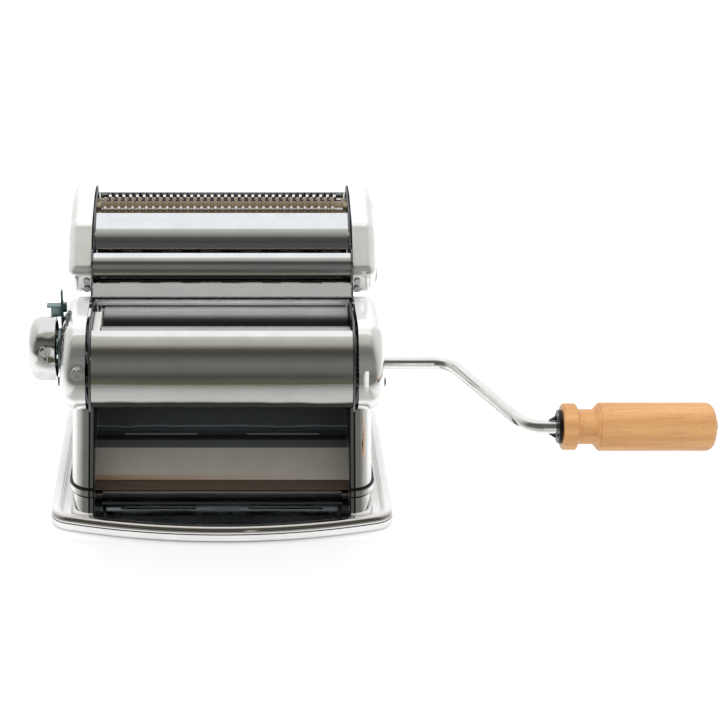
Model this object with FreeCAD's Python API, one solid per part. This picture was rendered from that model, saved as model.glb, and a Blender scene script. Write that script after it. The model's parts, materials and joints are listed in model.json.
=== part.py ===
import FreeCAD, Part
import math
import os

# Hand-cranked pasta machine with a two-width cutter head on its back.
# X runs along the rollers towards the crank, Y away from the front, Z up.
# The origin lies on the table under the middle of the base plate. Millimetres.

# Base plate
base_margin = 12.0
base_depth = 182.0
base_bow = 17.0
base_corner = 14.0
base_sheet = 1.2
base_skirt_bottom = 1.0
base_groove_z = 5.0
base_groove = 0.6
base_height = 9.6
base_rim = 7.0
base_rim_round = 2.9
base_bead_sheet = 2.0
base_floor_top = 6.6
base_panel_rise = 0.8
base_panel_half_x = 73.5
base_panel_half_y = 55.0
base_slot_length = 45.6
base_slot_width = 1.8
base_slot_x = 38.5
base_slot_y = 61.5
foot_radius = 8.0
foot_x = 84.0
foot_y = 56.0
foot_edge = 1.0

# Side plates and tie rods
plate_inner_x = 78.9
plate_sheet = 1.2
plate_foot_half_y = 62.0
plate_waist_half_y = 33.0
plate_flange_width = 7.0
plate_flange_half_y = 48.0
plate_edge_proud = 1.7
tie_rod_radius = 2.0
tie_rod_end = 1.2
upper_tie_y = 28.0
upper_tie_z = 70.0
nut_radius = 3.6
nut_length = 2.4
post_radius = 3.6
post_y = 29.5
post_z = 76.6

# Leg panels
leg_wrap = 1.7
leg_width = 14.3
leg_sheet = 1.0
leg_bottom_half_y = 67.5
leg_top_half_y = 35.5
leg_top_z = 64.0
leg_corner = 12.5
ridge_bottom_z = 15.6
ridge_height = 3.4
ridge_proud = 1.5

# Body covers and side casings
cover_center_y = 5.0
cover_center_z = 73.0
cover_radius = 39.8
cover_sheet = 0.9
cover_clearance = 0.3
cover_top_angle = 61.5
cover_bottom_angle = -9.0
cover_top_lip = 2.8
cover_bottom_lip = 3.6
casing_inner_x = 82.0
casing_outer_x = 97.8
casing_sheet = 1.2
casing_proud = 2.2
casing_bottom_z = 62.0
casing_top_z = 111.0
casing_corner = 12.0
casing_edge = 10.0
casing_leg_slot = 1.0
casing_leg_slot_height = 6.0

# Chute plate between the legs
chute_clearance = 0.1
chute_sheet = 0.9
chute_foot_y = -40.0
chute_face_y = -28.4
chute_top_y = -11.0
chute_top_z = 27.4
chute_back_y = 4.0
chute_rise_y = 35.0
chute_rise_z = 60.5
chute_rise_bend = 6.0
chute_foot_bend = 2.0
chute_face_bend = 3.2
chute_slot_y = -3.4
chute_slot_width = 2.2

# Smooth rollers
roller_radius = 14.0
roller_left_x = -73.4
roller_right_x = 78.3
roller_z = 92.0
fixed_roller_y = 14.6
nip_open = 2.2
nip_closed = 0.2
journal_radius = 5.0
running_clearance = 0.06
bush_radius = 7.5
bush_flange_radius = 9.5
bush_flange = 0.9
seat_clearance = 0.05
rotor_clearance = 0.3

# Gears of the smooth rollers
roller_gear_teeth = 16
roller_gear_module = 1.8
roller_gear_outer = 16.1
roller_gear_root = 11.7
roller_gear_x = 82.4
roller_gear_width = 4.0
drive_gear_teeth = 20
pinion_teeth = 9
drive_module = 1.5
drive_gear_x = 87.0
drive_gear_width = 4.0
pinion_axis_y = 2.0
tooth_share = 0.40
pinion_shaft_radius = 4.0
pinion_waist_radius = 5.0
pinion_hub_radius = 6.4
pinion_hub_end_x = 98.8
pinion_bush_radius = 6.4

# Bearing carriages of the front roller
carriage_half_y = 9.6
carriage_half_z = 10.0
carriage_arm_half_y = 6.5
carriage_arm_bottom_z = 66.0
carriage_arm_sheet = 1.6
guide_clearance = 0.1
travel_clearance = 0.4
link_radius = 2.2
link_z = 70.0
follower_radius = 1.6
follower_length = 4.0

# Scrapers and dough guard
scraper_sheet = 0.6
scraper_gap = 0.3
scraper_angle = 45.0
scraper_length = 14.0
scraper_slope = 58.0
guard_width = 4.7
guard_front_y = -22.0
guard_back_y = 10.0
guard_bottom_z = 97.7
guard_top_z = 106.0

# Thickness regulator on the left
cam_radius = 15.0
cam_thickness = 4.2
cam_face_x = -84.4
cam_groove_depth = 2.2
cam_groove_clearance = 0.15
cam_groove_radius = 12.0
cam_turn = 300.0
cam_spare_turn = 14.0
regulator_shaft_radius = 4.0
bracket_sheet = 1.4
bracket_ring_radius = 12.5
bracket_arm_front_y = 2.5
bracket_arm_back_y = 10.5
bracket_arm_bottom_z = 84.0
bracket_arm_top_z = 113.6
bracket_fin_height = 8.0
bracket_bridge_half_z = 6.0
bracket_shelf_length = 8.6
bracket_shelf_z = 112.6
bracket_nut_radius = 3.2
bracket_nut_length = 2.2
bracket_nut_z = 110.5
index_block_size = 6.2
index_block_z = 105.4
knob_radius = 19.7
knob_inner_x = -100.6
knob_depth = 16.6
knob_sheet = 1.3
knob_shoulder = 8.0
knob_rim_fold = 2.2
knob_hub_radius = 6.4
knob_well_radius = 5.6
knob_well_wall = 3.4
knob_face_recess = 3.0
knob_spring_wire = 0.9
knob_spring_radius = 5.2
knob_spring_turns = 4

# Crank
crank_rod_radius = 4.0
crank_socket_clearance = 0.1
crank_flat_half = 2.9
crank_flat_start_x = 84.0
crank_flat_end_x = 92.0
crank_bend_x = 142.0
crank_arm_end_x = 176.5
crank_radius = 86.8
crank_bend = 15.0
crimp_x = 188.2
crimp_length = 5.8
crimp_thickness = 1.8
crimp_start_span = 7.0
crimp_span = 14.5
washer_x = 194.4
washer_thickness = 2.0
washer_radius = 9.9
grip_collar_length = 8.0
grip_collar_radius = 13.7
grip_neck_length = 12.6
grip_neck_radius = 10.3
grip_radius = 14.2
grip_length = 88.2
grip_end_round = 5.0
rivet_radius = 5.4
rivet_thickness = 1.6

# Cutter head: rollers
cutter_spacing = 16.5
cutter_ring_radius = 9.0
cutter_core_radius = 6.2
cutter_journal_radius = 3.0
cutter_half_x = 76.0
wide_front_y = 36.5
wide_z = 120.0
fine_front_y = 82.0
fine_z = 145.4
fine_back_drop = 2.9
fine_pitch = 4.42
wide_pitch = 25.2
ring_side_clearance = 0.1
cutter_gear_teeth = 15
cutter_gear_module = 1.1
cutter_gear_x = 84.0
cutter_gear_width = 4.0
cutter_bush_radius = 4.6
cutter_bush_flange = 5.8
socket_radius = 4.15
socket_depth = 7.0

# Cutter head: plates, casings and covers
head_plate_x = 80.5
head_plate_sheet = 1.0
head_casing_inner_x = 81.8
head_casing_outer_x = 96.6
head_casing_sheet = 1.1
head_casing_edge = 7.0
head_casing_front = ((27.0, 111.0), (24.0, 126.6))
head_cover_clearance = 0.3
head_cover_sheet = 0.8
lower_cover_center = (38.5, 122.7)
lower_cover_radius = 13.3
middle_cover_back = (70.56, 147.85)
middle_cover_shoulder = (59.53, 141.48)
middle_cover_nose = (55.0, 137.28)
middle_cover_front = (50.9, 131.6)
middle_cover_shoulder_bend = 16.0
middle_cover_nose_bend = 36.0
head_front_low = (14.7, 113.6)
head_front_high = (21.9, 119.4)
head_rear_tie = (103.8, 131.8)
head_baffle_path = ((57.5, 107.8, 0), (66.5, 117.5, 5.0), (67.6, 127.2, 0))
head_back_path = ((106.6, 149.1, 0), (109.6, 147.2, 2.0), (109.6, 139.5, 7.0), (106.4, 131.0, 0))
head_casing_rest = ((50.0, 148.6, 10.0), (80.0, 157.6, 12.0), (101.5, 157.4, 9.0), (110.6, 149.5, 9.0),
                    (111.0, 133.0, 9.0), (56.0, 108.4, 9.0), (38.0, 108.4, 9.0))
head_casing_front_bends = (8.0, 9.0)
head_plate_front = ((23.0, 107.0, 4.0), (12.6, 112.8, 0.8), (21.0, 120.8, 2.0), (23.9, 122.4, 1.0),
                    (24.0, 131.5, 5.0), (32.5, 138.0, 4.0), (46.6, 135.6, 3.0), (58.0, 144.8, 16.0),
                    (71.0, 151.2, 6.0), (96.0, 155.0, 3.0))
head_plate_back = ((100.0, 156.6, 0), (103.0, 153.4, 2.0), (108.6, 151.0, 3.0), (110.0, 141.0, 6.0),
                   (108.4, 128.6, 4.0), (101.0, 126.4, 6.0), (62.0, 105.2, 6.0))
hook_leg_top_z = 101.0
hook_pin_radius = 2.4
hook_pin_y = 35.2
hook_pin_z = 91.0
hook_leg_front_y = 30.0
hook_leg_back_y = 40.4
hook_leg_bottom_z = 86.0
comb_sheet = 0.8
comb_bar_height = 5.0
comb_tooth_height = 6.0
comb_tooth_clearance = 0.22
comb_core_clearance = 0.5
head_tie_radius = 2.0
head_tie_end = 0.2
head_post_radius = 3.2
head_post_y = 67.0
head_post_z = 131.0
corner_screw_x = 84.4
corner_screw_head = 2.0
corner_screw_shank = 0.8
screw_head_radius = 3.0
screw_head_height = 1.8
screw_shank_radius = 1.6
casing_screw_length = 8.0
head_screw_length = 7.0
grip_play = 0.3
cutter_hub_radius = 5.4
cutter_hub_proud = 0.4

# Sizes that follow from the ones above
plate_outer_x = plate_inner_x + plate_sheet
leg_inner_x = plate_inner_x - leg_wrap
leg_outer_x = leg_inner_x + leg_width
base_width = 2 * (leg_outer_x + base_margin)
cover_half_x = plate_inner_x - cover_clearance
chute_half_x = plate_inner_x - chute_clearance
head_cover_half_x = head_plate_x - head_cover_clearance
base_panel_top = base_floor_top + base_panel_rise
adjustable_roller_y = fixed_roller_y - 2 * roller_radius - nip_open
nip_travel = nip_open - nip_closed
cam_axis_y = adjustable_roller_y + nip_travel / 2
drive_center_distance = drive_module * (drive_gear_teeth + pinion_teeth) / 2
pinion_axis_z = roller_z - math.sqrt(drive_center_distance ** 2 - (fixed_roller_y - pinion_axis_y) ** 2)
crank_y = pinion_axis_y - crank_radius
wide_back_y = wide_front_y + cutter_spacing
fine_back_y = fine_front_y + math.sqrt(cutter_spacing ** 2 - fine_back_drop ** 2)
fine_back_z = fine_z - fine_back_drop
casing_radius = cover_radius + casing_proud
plate_radius = cover_radius + plate_edge_proud
washer_end_x = washer_x + washer_thickness
regulator_shaft_end_x = knob_inner_x - knob_depth + knob_face_recess
knob_well_floor_x = knob_inner_x - knob_well_wall
grip_start_x = washer_end_x + grip_play
grip_end_x = grip_start_x + grip_length + grip_play


def vec(x, y, z):
    return FreeCAD.Vector(x, y, z)


def box(x0, x1, y0, y1, z0, z1):
    return Part.makeBox(x1 - x0, y1 - y0, z1 - z0, vec(x0, y0, z0))


def rod(y, z, radius, x0, x1):
    """A round bar along X."""
    return Part.makeCylinder(radius, x1 - x0, vec(x0, y, z), vec(1, 0, 0))


def tube(y, z, outer, inner, x0, x1):
    return rod(y, z, outer, x0, x1).cut(rod(y, z, inner, x0 - 1, x1 + 1))


def mirror_x(shape):
    return shape.mirror(vec(0, 0, 0), vec(1, 0, 0))


def mirror_y(shape):
    return shape.mirror(vec(0, 0, 0), vec(0, 1, 0))


def rounded_edges(corners, place, closed):
    """Lines joined by tangent arcs. Each corner is (a, b, radius) and place turns (a, b) into a point."""
    count = len(corners)
    starts = []
    ends = []
    arcs = []
    for i, (a, b, radius) in enumerate(corners):
        here = place(a, b)
        is_end = not closed and i in (0, count - 1)
        if radius == 0 or is_end:
            starts.append(here)
            ends.append(here)
            continue
        before = place(*corners[i - 1][:2])
        after = place(*corners[(i + 1) % count][:2])
        into = (here - before).normalize()
        out = (after - here).normalize()
        half_turn = into.getAngle(out) / 2
        back = radius * math.tan(half_turn)
        middle = (out - into).normalize() * (radius / math.cos(half_turn) - radius)
        starts.append(here - into * back)
        ends.append(here + out * back)
        arcs.append(Part.Arc(starts[i], here + middle, ends[i]).toShape())
    edges = arcs
    last = count if closed else count - 1
    for i in range(last):
        following = starts[(i + 1) % count]
        if (following - ends[i]).Length > 1e-6:
            edges.append(Part.LineSegment(ends[i], following).toShape())
    return edges


def side_view(x):
    """Places a point of a side view (y, z) in the plane at x."""
    return lambda y, z: vec(x, y, z)


def wire_of(edges):
    return Part.Wire(Part.__sortEdges__(edges))


def slab(corners, x0, x1):
    """A closed side-view outline with rounded corners, given thickness along X."""
    wire = wire_of(rounded_edges(corners, side_view(x0), True))
    return Part.Face(wire).extrude(vec(x1 - x0, 0, 0))


def sheet(edges, thickness, half_x):
    """Sheet metal that follows an open side-view path drawn at -half_x, as wide as the space between."""
    outline = wire_of(edges).makeOffset2D(thickness / 2)
    return Part.Face(outline).extrude(vec(2 * half_x, 0, 0))


def bent_sheet(corners, thickness, half_x):
    return sheet(rounded_edges(corners, side_view(-half_x), False), thickness, half_x)


def arc_point(center_y, center_z, radius, degrees, front):
    """A point on a side-view circle, at an angle above the horizontal, on its front or back side."""
    side = -1 if front else 1
    angle = math.radians(degrees)
    return center_y + side * radius * math.cos(angle), center_z + radius * math.sin(angle)


def edges_near_x(shape, x):
    """Edges that lie wholly in the plane at x."""
    return [e for e in shape.Edges if abs(e.BoundBox.XMin - x) < 1e-4 and abs(e.BoundBox.XMax - x) < 1e-4]


def edges_along_x(shape):
    """Straight edges that run along X."""
    return [e for e in shape.Edges if e.BoundBox.YLength < 1e-4 and e.BoundBox.ZLength < 1e-4]


def turned(profile, y, z):
    """A solid of revolution about the line along X at (y, z). The profile lists (x, radius) points."""
    points = [vec(x, y, z + radius) for x, radius in profile]
    closed = points + [points[0]]
    return Part.Face(Part.makePolygon(closed)).revolve(vec(0, y, z), vec(1, 0, 0), 360)


def hexagon_bar(y, z, radius, x0, x1):
    corners = [vec(x0, y + radius * math.cos(k * math.pi / 3), z + radius * math.sin(k * math.pi / 3))
               for k in range(6)]
    return Part.Face(Part.makePolygon(corners + [corners[0]])).extrude(vec(x1 - x0, 0, 0))


def pan_screw(y, z, x, direction, shank_length):
    """A screw along X whose head sits outside the face at x. Direction is the way its head points."""
    head = Part.makeCylinder(screw_head_radius, screw_head_height, vec(x, y, z), vec(direction, 0, 0))
    crown = [e for e in head.Edges if abs(e.BoundBox.XMin - (x + direction * screw_head_height)) < 1e-4
             and abs(e.BoundBox.XMax - e.BoundBox.XMin) < 1e-4]
    head = head.makeFillet(0.45 * screw_head_height, crown)
    slot_depth = 0.5 * screw_head_height
    slot_inner = x + direction * slot_depth
    slot_outer = x + direction * (screw_head_height + 1)
    slot = box(min(slot_inner, slot_outer), max(slot_inner, slot_outer),
               y - screw_head_radius, y + screw_head_radius, z - 0.35, z + 0.35)
    shank = Part.makeCylinder(screw_shank_radius, shank_length, vec(x, y, z), vec(-direction, 0, 0))
    return head.cut(slot).fuse(shank).removeSplitter()


def gear(y, z, teeth, module, outer, root, x0, x1, toward):
    """A spur gear with involute flanks. One tooth points at the angle toward, in degrees from +Y to +Z."""
    pitch_radius = teeth * module / 2
    pressure = math.radians(20)
    base = pitch_radius * math.cos(pressure)

    def involute(radius):
        angle = math.acos(min(1.0, base / radius))
        return math.tan(angle) - angle

    half_at_pitch = tooth_share * math.pi / teeth
    flank_steps = 4
    low = max(base, root)
    radii = [low + (outer - low) * i / flank_steps for i in range(flank_steps + 1)]
    flank = [(r, half_at_pitch + involute(pitch_radius) - involute(r)) for r in radii]
    if root < base:
        flank.insert(0, (root, flank[0][1]))
    points = []
    for tooth in range(teeth):
        center = math.radians(toward) + 2 * math.pi * tooth / teeth
        for r, half in flank:
            points.append((r, center - half))
        for r, half in reversed(flank):
            points.append((r, center + half))
    corners = [vec(x0, y + r * math.cos(a), z + r * math.sin(a)) for r, a in points]
    return Part.Face(Part.makePolygon(corners + [corners[0]])).extrude(vec(x1 - x0, 0, 0))


def direction_degrees(y0, z0, y1, z1):
    return math.degrees(math.atan2(z1 - z0, y1 - y0))


parts = {}


# Base plate, its rim and slots, and the feet under it

def base_outline():
    """The plan view at z 0: straight sides, bowed front and back, round corners."""
    x = base_width / 2
    corner_y = base_depth / 2 - base_bow
    middle_y = base_depth / 2
    front = Part.Arc(vec(-x, -corner_y, 0), vec(0, -middle_y, 0), vec(x, -corner_y, 0)).toShape()
    back = Part.Arc(vec(x, corner_y, 0), vec(0, middle_y, 0), vec(-x, corner_y, 0)).toShape()
    right = Part.LineSegment(vec(x, -corner_y, 0), vec(x, corner_y, 0)).toShape()
    left = Part.LineSegment(vec(-x, corner_y, 0), vec(-x, -corner_y, 0)).toShape()
    prism = Part.Face(Part.Wire([front, right, back, left])).extrude(vec(0, 0, base_height))
    upright = [e for e in prism.Edges if e.BoundBox.ZLength > 1 and e.BoundBox.XLength < 1e-4]
    prism = prism.makeFillet(base_corner, upright)
    bottom = min(prism.Faces, key=lambda face: face.CenterOfMass.z)
    return bottom


def base_layer(outline, inset, z0, z1):
    """The plan outline drawn in by inset, from z0 to z1."""
    face = outline
    if inset > 0:
        face = outline.makeOffset2D(-inset, fill=False)
        face = Part.Face(face.Wires[0])
    layer = Part.Face(face.OuterWire).extrude(vec(0, 0, z1 - z0))
    layer.translate(vec(0, 0, z0))
    return layer


def build_base():
    outline = base_outline()
    body = base_layer(outline, 0, base_skirt_bottom, base_height)
    body = body.cut(base_layer(outline, base_rim, base_floor_top, base_height + 1))
    rim_edges = [e for e in body.Edges if abs(e.BoundBox.ZMin - base_height) < 1e-4]
    body = body.makeFillet(base_rim_round, rim_edges)
    underside = base_layer(outline, base_sheet, base_skirt_bottom - 1, base_floor_top - base_sheet)
    body = body.cut(underside)
    bead_ceiling = base_height - base_bead_sheet
    bead_hollow = base_layer(outline, base_sheet, base_floor_top - base_sheet - 0.5, bead_ceiling)
    bead_hollow = bead_hollow.cut(base_layer(outline, base_rim - base_sheet, base_skirt_bottom, base_height))
    body = body.cut(bead_hollow)
    groove = base_layer(outline, 0, base_groove_z, base_groove_z + base_groove)
    groove = groove.cut(base_layer(outline, base_groove / 2, base_groove_z - 1, base_height))
    body = body.cut(groove)
    panel = box(-base_panel_half_x, base_panel_half_x, -base_panel_half_y, base_panel_half_y,
                base_floor_top - base_sheet / 2, base_panel_top)
    recess = box(-base_panel_half_x + base_sheet, base_panel_half_x - base_sheet,
                 -base_panel_half_y + base_sheet, base_panel_half_y - base_sheet,
                 base_floor_top - base_sheet - 1, base_panel_top - base_sheet)
    body = body.fuse(panel).cut(recess)
    for side_x in (-1, 1):
        for side_y in (-1, 1):
            x = side_x * base_slot_x
            y = side_y * base_slot_y
            slot = box(x - base_slot_length / 2, x + base_slot_length / 2,
                       y - base_slot_width / 2, y + base_slot_width / 2, 0, base_height)
            body = body.cut(slot)
    return body.removeSplitter()


def rubber_foot(x, y, top_z):
    foot = Part.makeCylinder(foot_radius, top_z, vec(x, y, 0))
    rim = [e for e in foot.Edges if e.BoundBox.ZMax < 1e-4]
    return foot.makeFillet(foot_edge, rim)


def build_feet():
    """Four feet under the corners, and a taller one under the middle of the raised panel."""
    floor_bottom = base_floor_top - base_sheet
    feet = [rubber_foot(x, y, floor_bottom) for x in (-foot_x, foot_x) for y in (-foot_y, foot_y)]
    feet.append(rubber_foot(0, 0, base_panel_top - base_sheet))
    return Part.makeCompound(feet)


# Inner side plates, tie rods and their nuts

def build_side_plate():
    """The right plate. It stands on the base with a flange turned outwards."""
    x0 = plate_inner_x
    x1 = plate_outer_x
    head_bottom_z = leg_top_z + travel_clearance
    foot = slab([(-plate_foot_half_y, base_floor_top, 3), (plate_foot_half_y, base_floor_top, 3),
                 (plate_waist_half_y, head_bottom_z + 2, 0), (-plate_waist_half_y, head_bottom_z + 2, 0)],
                x0, x1)
    head = body_outline_slab(plate_radius, head_bottom_z, casing_top_z + 1, x0, x1)
    flange = box(x0, x1 + plate_flange_width, -plate_flange_half_y, plate_flange_half_y,
                 base_floor_top, base_floor_top + plate_sheet)
    plate = foot.fuse(head).fuse(flange)
    holes = [
        rod(fixed_roller_y, roller_z, bush_radius + seat_clearance, x0 - 1, x1 + 1),
        rod(pinion_axis_y, pinion_axis_z, pinion_bush_radius + seat_clearance, x0 - 1, x1 + 1),
    ]
    for y, z in tie_rod_places():
        holes.append(rod(y, z, tie_rod_radius + seat_clearance, x0 - 1, x1 + 1))
    window_front = adjustable_roller_y - carriage_half_y - travel_clearance
    window_back = adjustable_roller_y + nip_travel + carriage_half_y + travel_clearance
    holes.append(box(x0 - 1, x1 + 1, window_front, window_back,
                     roller_z - carriage_half_z - guide_clearance, roller_z + carriage_half_z + guide_clearance))
    link_slot_radius = link_radius + travel_clearance
    link_y = adjustable_roller_y
    holes.append(rod(link_y, link_z, link_slot_radius, x0 - 1, x1 + 1))
    holes.append(rod(link_y + nip_travel, link_z, link_slot_radius, x0 - 1, x1 + 1))
    holes.append(box(x0 - 1, x1 + 1, link_y, link_y + nip_travel,
                     link_z - link_slot_radius, link_z + link_slot_radius))
    for hole in holes:
        plate = plate.cut(hole)
    return plate.removeSplitter()


def body_outline_slab(radius, bottom_z, top_z, x0, x1):
    """Front arc, flat top, back arc and flat bottom: the side view of the machine's upper body."""
    reach_top = math.sqrt(radius ** 2 - (top_z - cover_center_z) ** 2)
    reach_bottom = math.sqrt(radius ** 2 - (bottom_z - cover_center_z) ** 2)
    place = side_view(x0)
    front_y = -cover_center_y
    back_y = cover_center_y
    front = Part.Arc(place(front_y - reach_bottom, bottom_z), place(front_y - radius, cover_center_z),
                     place(front_y - reach_top, top_z)).toShape()
    top = Part.LineSegment(place(front_y - reach_top, top_z), place(back_y + reach_top, top_z)).toShape()
    back = Part.Arc(place(back_y + reach_top, top_z), place(back_y + radius, cover_center_z),
                    place(back_y + reach_bottom, bottom_z)).toShape()
    bottom = Part.LineSegment(place(back_y + reach_bottom, bottom_z),
                              place(front_y - reach_bottom, bottom_z)).toShape()
    return Part.Face(Part.Wire([front, top, back, bottom])).extrude(vec(x1 - x0, 0, 0))


def rod_behind_sheet(y0, z0, y1, z1, rod_radius, thickness):
    """Where a rod lies against the underside of a straight run of sheet, at its middle."""
    run = vec(0, y1 - y0, z1 - z0)
    behind = vec(0, run.z, -run.y).normalize()
    place = vec(0, y0, z0) + run * 0.5 + behind * (rod_radius + thickness / 2 + seat_clearance)
    return place.y, place.z


def tie_rod_places():
    """Two rods high up, one under the chute's face and one under its rising back."""
    foot_z = base_panel_top + chute_sheet / 2
    return [(-upper_tie_y, upper_tie_z), (upper_tie_y, upper_tie_z),
            rod_behind_sheet(chute_face_y, foot_z, chute_top_y, chute_top_z, tie_rod_radius, chute_sheet),
            rod_behind_sheet(chute_back_y, chute_top_z, chute_rise_y, chute_rise_z, tie_rod_radius, chute_sheet)]


def build_tie_rods():
    end_x = plate_outer_x + tie_rod_end
    return Part.makeCompound([rod(y, z, tie_rod_radius, -end_x, end_x) for y, z in tie_rod_places()])


def build_tie_rod_nuts():
    nuts = []
    for y, z in tie_rod_places()[2:]:
        for x0 in (plate_outer_x, -plate_outer_x - nut_length):
            nut = hexagon_bar(y, z, nut_radius, x0, x0 + nut_length)
            nuts.append(nut.cut(rod(y, z, tie_rod_radius + seat_clearance, x0 - 1, x0 + nut_length + 1)))
    return Part.makeCompound(nuts)


def build_casing_posts():
    """Spacers between each side plate and its casing, drilled for the casing's screws."""
    posts = []
    for y in (-post_y, post_y):
        end_x = casing_outer_x - casing_sheet
        post = rod(y, post_z, post_radius, plate_outer_x, end_x)
        screw_end = casing_outer_x - casing_screw_length - 0.5
        post = post.cut(rod(y, post_z, screw_shank_radius + seat_clearance, screw_end, end_x + 1))
        posts.append(post)
        posts.append(mirror_x(post))
    return Part.makeCompound(posts)


def build_casing_screws():
    screws = []
    for y in (-post_y, post_y):
        screw = pan_screw(y, post_z, casing_outer_x, 1, casing_screw_length)
        screws.append(screw)
        screws.append(mirror_x(screw))
    return Part.makeCompound(screws)


# Leg panels: sheet wrapped round the front, outside and back of each side

def leg_shape(grow, x0, z0, z1, corner):
    """The splayed leg as a solid, grown on its front, outer and back faces."""
    slope = (leg_bottom_half_y - leg_top_half_y) / (leg_top_z - base_floor_top)
    low_half_y = leg_bottom_half_y + slope * (base_floor_top - z0) + grow
    high_half_y = leg_bottom_half_y - slope * (z1 - base_floor_top) + grow
    shape = slab([(-low_half_y, z0, 0), (low_half_y, z0, 0), (high_half_y, z1, 0), (-high_half_y, z1, 0)],
                 x0, leg_outer_x + grow)
    outer_edges = [e for e in edges_near_x(shape, leg_outer_x + grow) if e.BoundBox.ZLength > 0.5]
    return shape.makeFillet(corner + grow, outer_edges)


def build_leg_panel():
    outer = leg_shape(0, leg_inner_x, base_floor_top, leg_top_z, leg_corner)
    ridge = leg_shape(ridge_proud, leg_inner_x, base_floor_top, leg_top_z, leg_corner)
    ridge = ridge.common(box(leg_inner_x, leg_outer_x + 5, -base_depth, base_depth,
                             ridge_bottom_z, ridge_bottom_z + ridge_height))
    inner = leg_shape(-leg_sheet, leg_inner_x - 1, base_floor_top - 2, leg_top_z + 2, leg_corner)
    return outer.fuse(ridge).cut(inner).removeSplitter()


# Rounded casings over the gears and the regulator

def casing_solid(inset, x0, x1, edge):
    shape = body_outline_slab(casing_radius - inset, casing_bottom_z + inset, casing_top_z - inset, x0, x1)
    shape = shape.makeFillet(casing_corner - inset, edges_along_x(shape))
    return shape.makeFillet(edge, edges_near_x(shape, x1))


def build_casing():
    outer = casing_solid(0, casing_inner_x, casing_outer_x, casing_edge)
    inner = casing_solid(casing_sheet, casing_inner_x - 1, casing_outer_x - casing_sheet,
                         casing_edge - casing_sheet)
    casing = outer.cut(inner)
    leg_slot = box(casing_inner_x - 1, leg_outer_x + casing_leg_slot,
                   -leg_top_half_y - 4, leg_top_half_y + 4, casing_bottom_z - 1,
                   casing_bottom_z + casing_leg_slot_height)
    casing = casing.cut(leg_slot)
    for y in (-post_y, post_y):
        casing = casing.cut(rod(y, post_z, screw_shank_radius + seat_clearance,
                                casing_outer_x - 3, casing_outer_x + 1))
    return casing


def build_casing_right():
    hole = rod(pinion_axis_y, pinion_axis_z, pinion_hub_radius + rotor_clearance,
               casing_outer_x - 3, casing_outer_x + 1)
    return build_casing().cut(hole)


def build_casing_left():
    hole = rod(cam_axis_y, roller_z, bush_radius + seat_clearance, -casing_outer_x - 1, -casing_outer_x + 3)
    return mirror_x(build_casing()).cut(hole)


# Curved covers in front of and behind the smooth rollers

def build_front_cover():
    radius = cover_radius - cover_sheet / 2
    center_y = -cover_center_y
    top = arc_point(center_y, cover_center_z, radius, cover_top_angle, True)
    middle_angle = (cover_top_angle + cover_bottom_angle) / 2
    middle = arc_point(center_y, cover_center_z, radius, middle_angle, True)
    bottom = arc_point(center_y, cover_center_z, radius, cover_bottom_angle, True)
    place = side_view(-cover_half_x)
    curve = Part.Arc(place(*top), place(*middle), place(*bottom)).toShape()
    top_lip = Part.LineSegment(place(top[0] + 0.6, top[1] - cover_top_lip), place(*top)).toShape()
    bottom_lip = Part.LineSegment(place(*bottom), place(bottom[0] + cover_bottom_lip, bottom[1] - 0.8)).toShape()
    return sheet([top_lip, curve, bottom_lip], cover_sheet, cover_half_x)


# Slotted chute plate that catches the sheet of dough and turns it out to the front

def build_chute():
    half_sheet = chute_sheet / 2
    path = [(chute_foot_y, base_panel_top + half_sheet, 0),
            (chute_face_y, base_panel_top + half_sheet, chute_foot_bend),
            (chute_top_y, chute_top_z, chute_face_bend),
            (chute_back_y, chute_top_z, chute_rise_bend),
            (chute_rise_y, chute_rise_z, 0)]
    chute = bent_sheet(path, chute_sheet, chute_half_x)
    for side in (-1, 1):
        x = side * base_slot_x
        slot = box(x - base_slot_length / 2, x + base_slot_length / 2,
                   chute_slot_y - chute_slot_width / 2, chute_slot_y + chute_slot_width / 2,
                   chute_top_z - 2, chute_top_z + 2)
        chute = chute.cut(slot)
    return chute


# Smooth rollers with their gears and bushes

def build_roller(y, left_end, right_end):
    edge = 0.6
    profile = [(left_end, 0), (left_end, journal_radius), (roller_left_x, journal_radius),
               (roller_left_x, roller_radius - edge), (roller_left_x + edge, roller_radius),
               (roller_right_x - edge, roller_radius), (roller_right_x, roller_radius - edge),
               (roller_right_x, journal_radius), (right_end, journal_radius), (right_end, 0)]
    return turned(profile, y, roller_z)


def roller_gear(y, toward):
    blank = gear(y, roller_z, roller_gear_teeth, roller_gear_module, roller_gear_outer, roller_gear_root,
                 roller_gear_x, roller_gear_x + roller_gear_width, toward)
    return blank.cut(rod(y, roller_z, journal_radius + seat_clearance, roller_gear_x - 1,
                         roller_gear_x + roller_gear_width + 1))


def build_drive_gear():
    toward = direction_degrees(fixed_roller_y, roller_z, pinion_axis_y, pinion_axis_z)
    pitch_radius = drive_gear_teeth * drive_module / 2
    blank = gear(fixed_roller_y, roller_z, drive_gear_teeth, drive_module, pitch_radius + drive_module,
                 pitch_radius - 1.25 * drive_module, drive_gear_x, drive_gear_x + drive_gear_width, toward)
    hub = rod(fixed_roller_y, roller_z, bush_radius, roller_gear_x + roller_gear_width, drive_gear_x)
    bore = rod(fixed_roller_y, roller_z, journal_radius + seat_clearance, roller_gear_x,
               drive_gear_x + drive_gear_width + 1)
    return blank.fuse(hub).cut(bore).removeSplitter()


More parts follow.
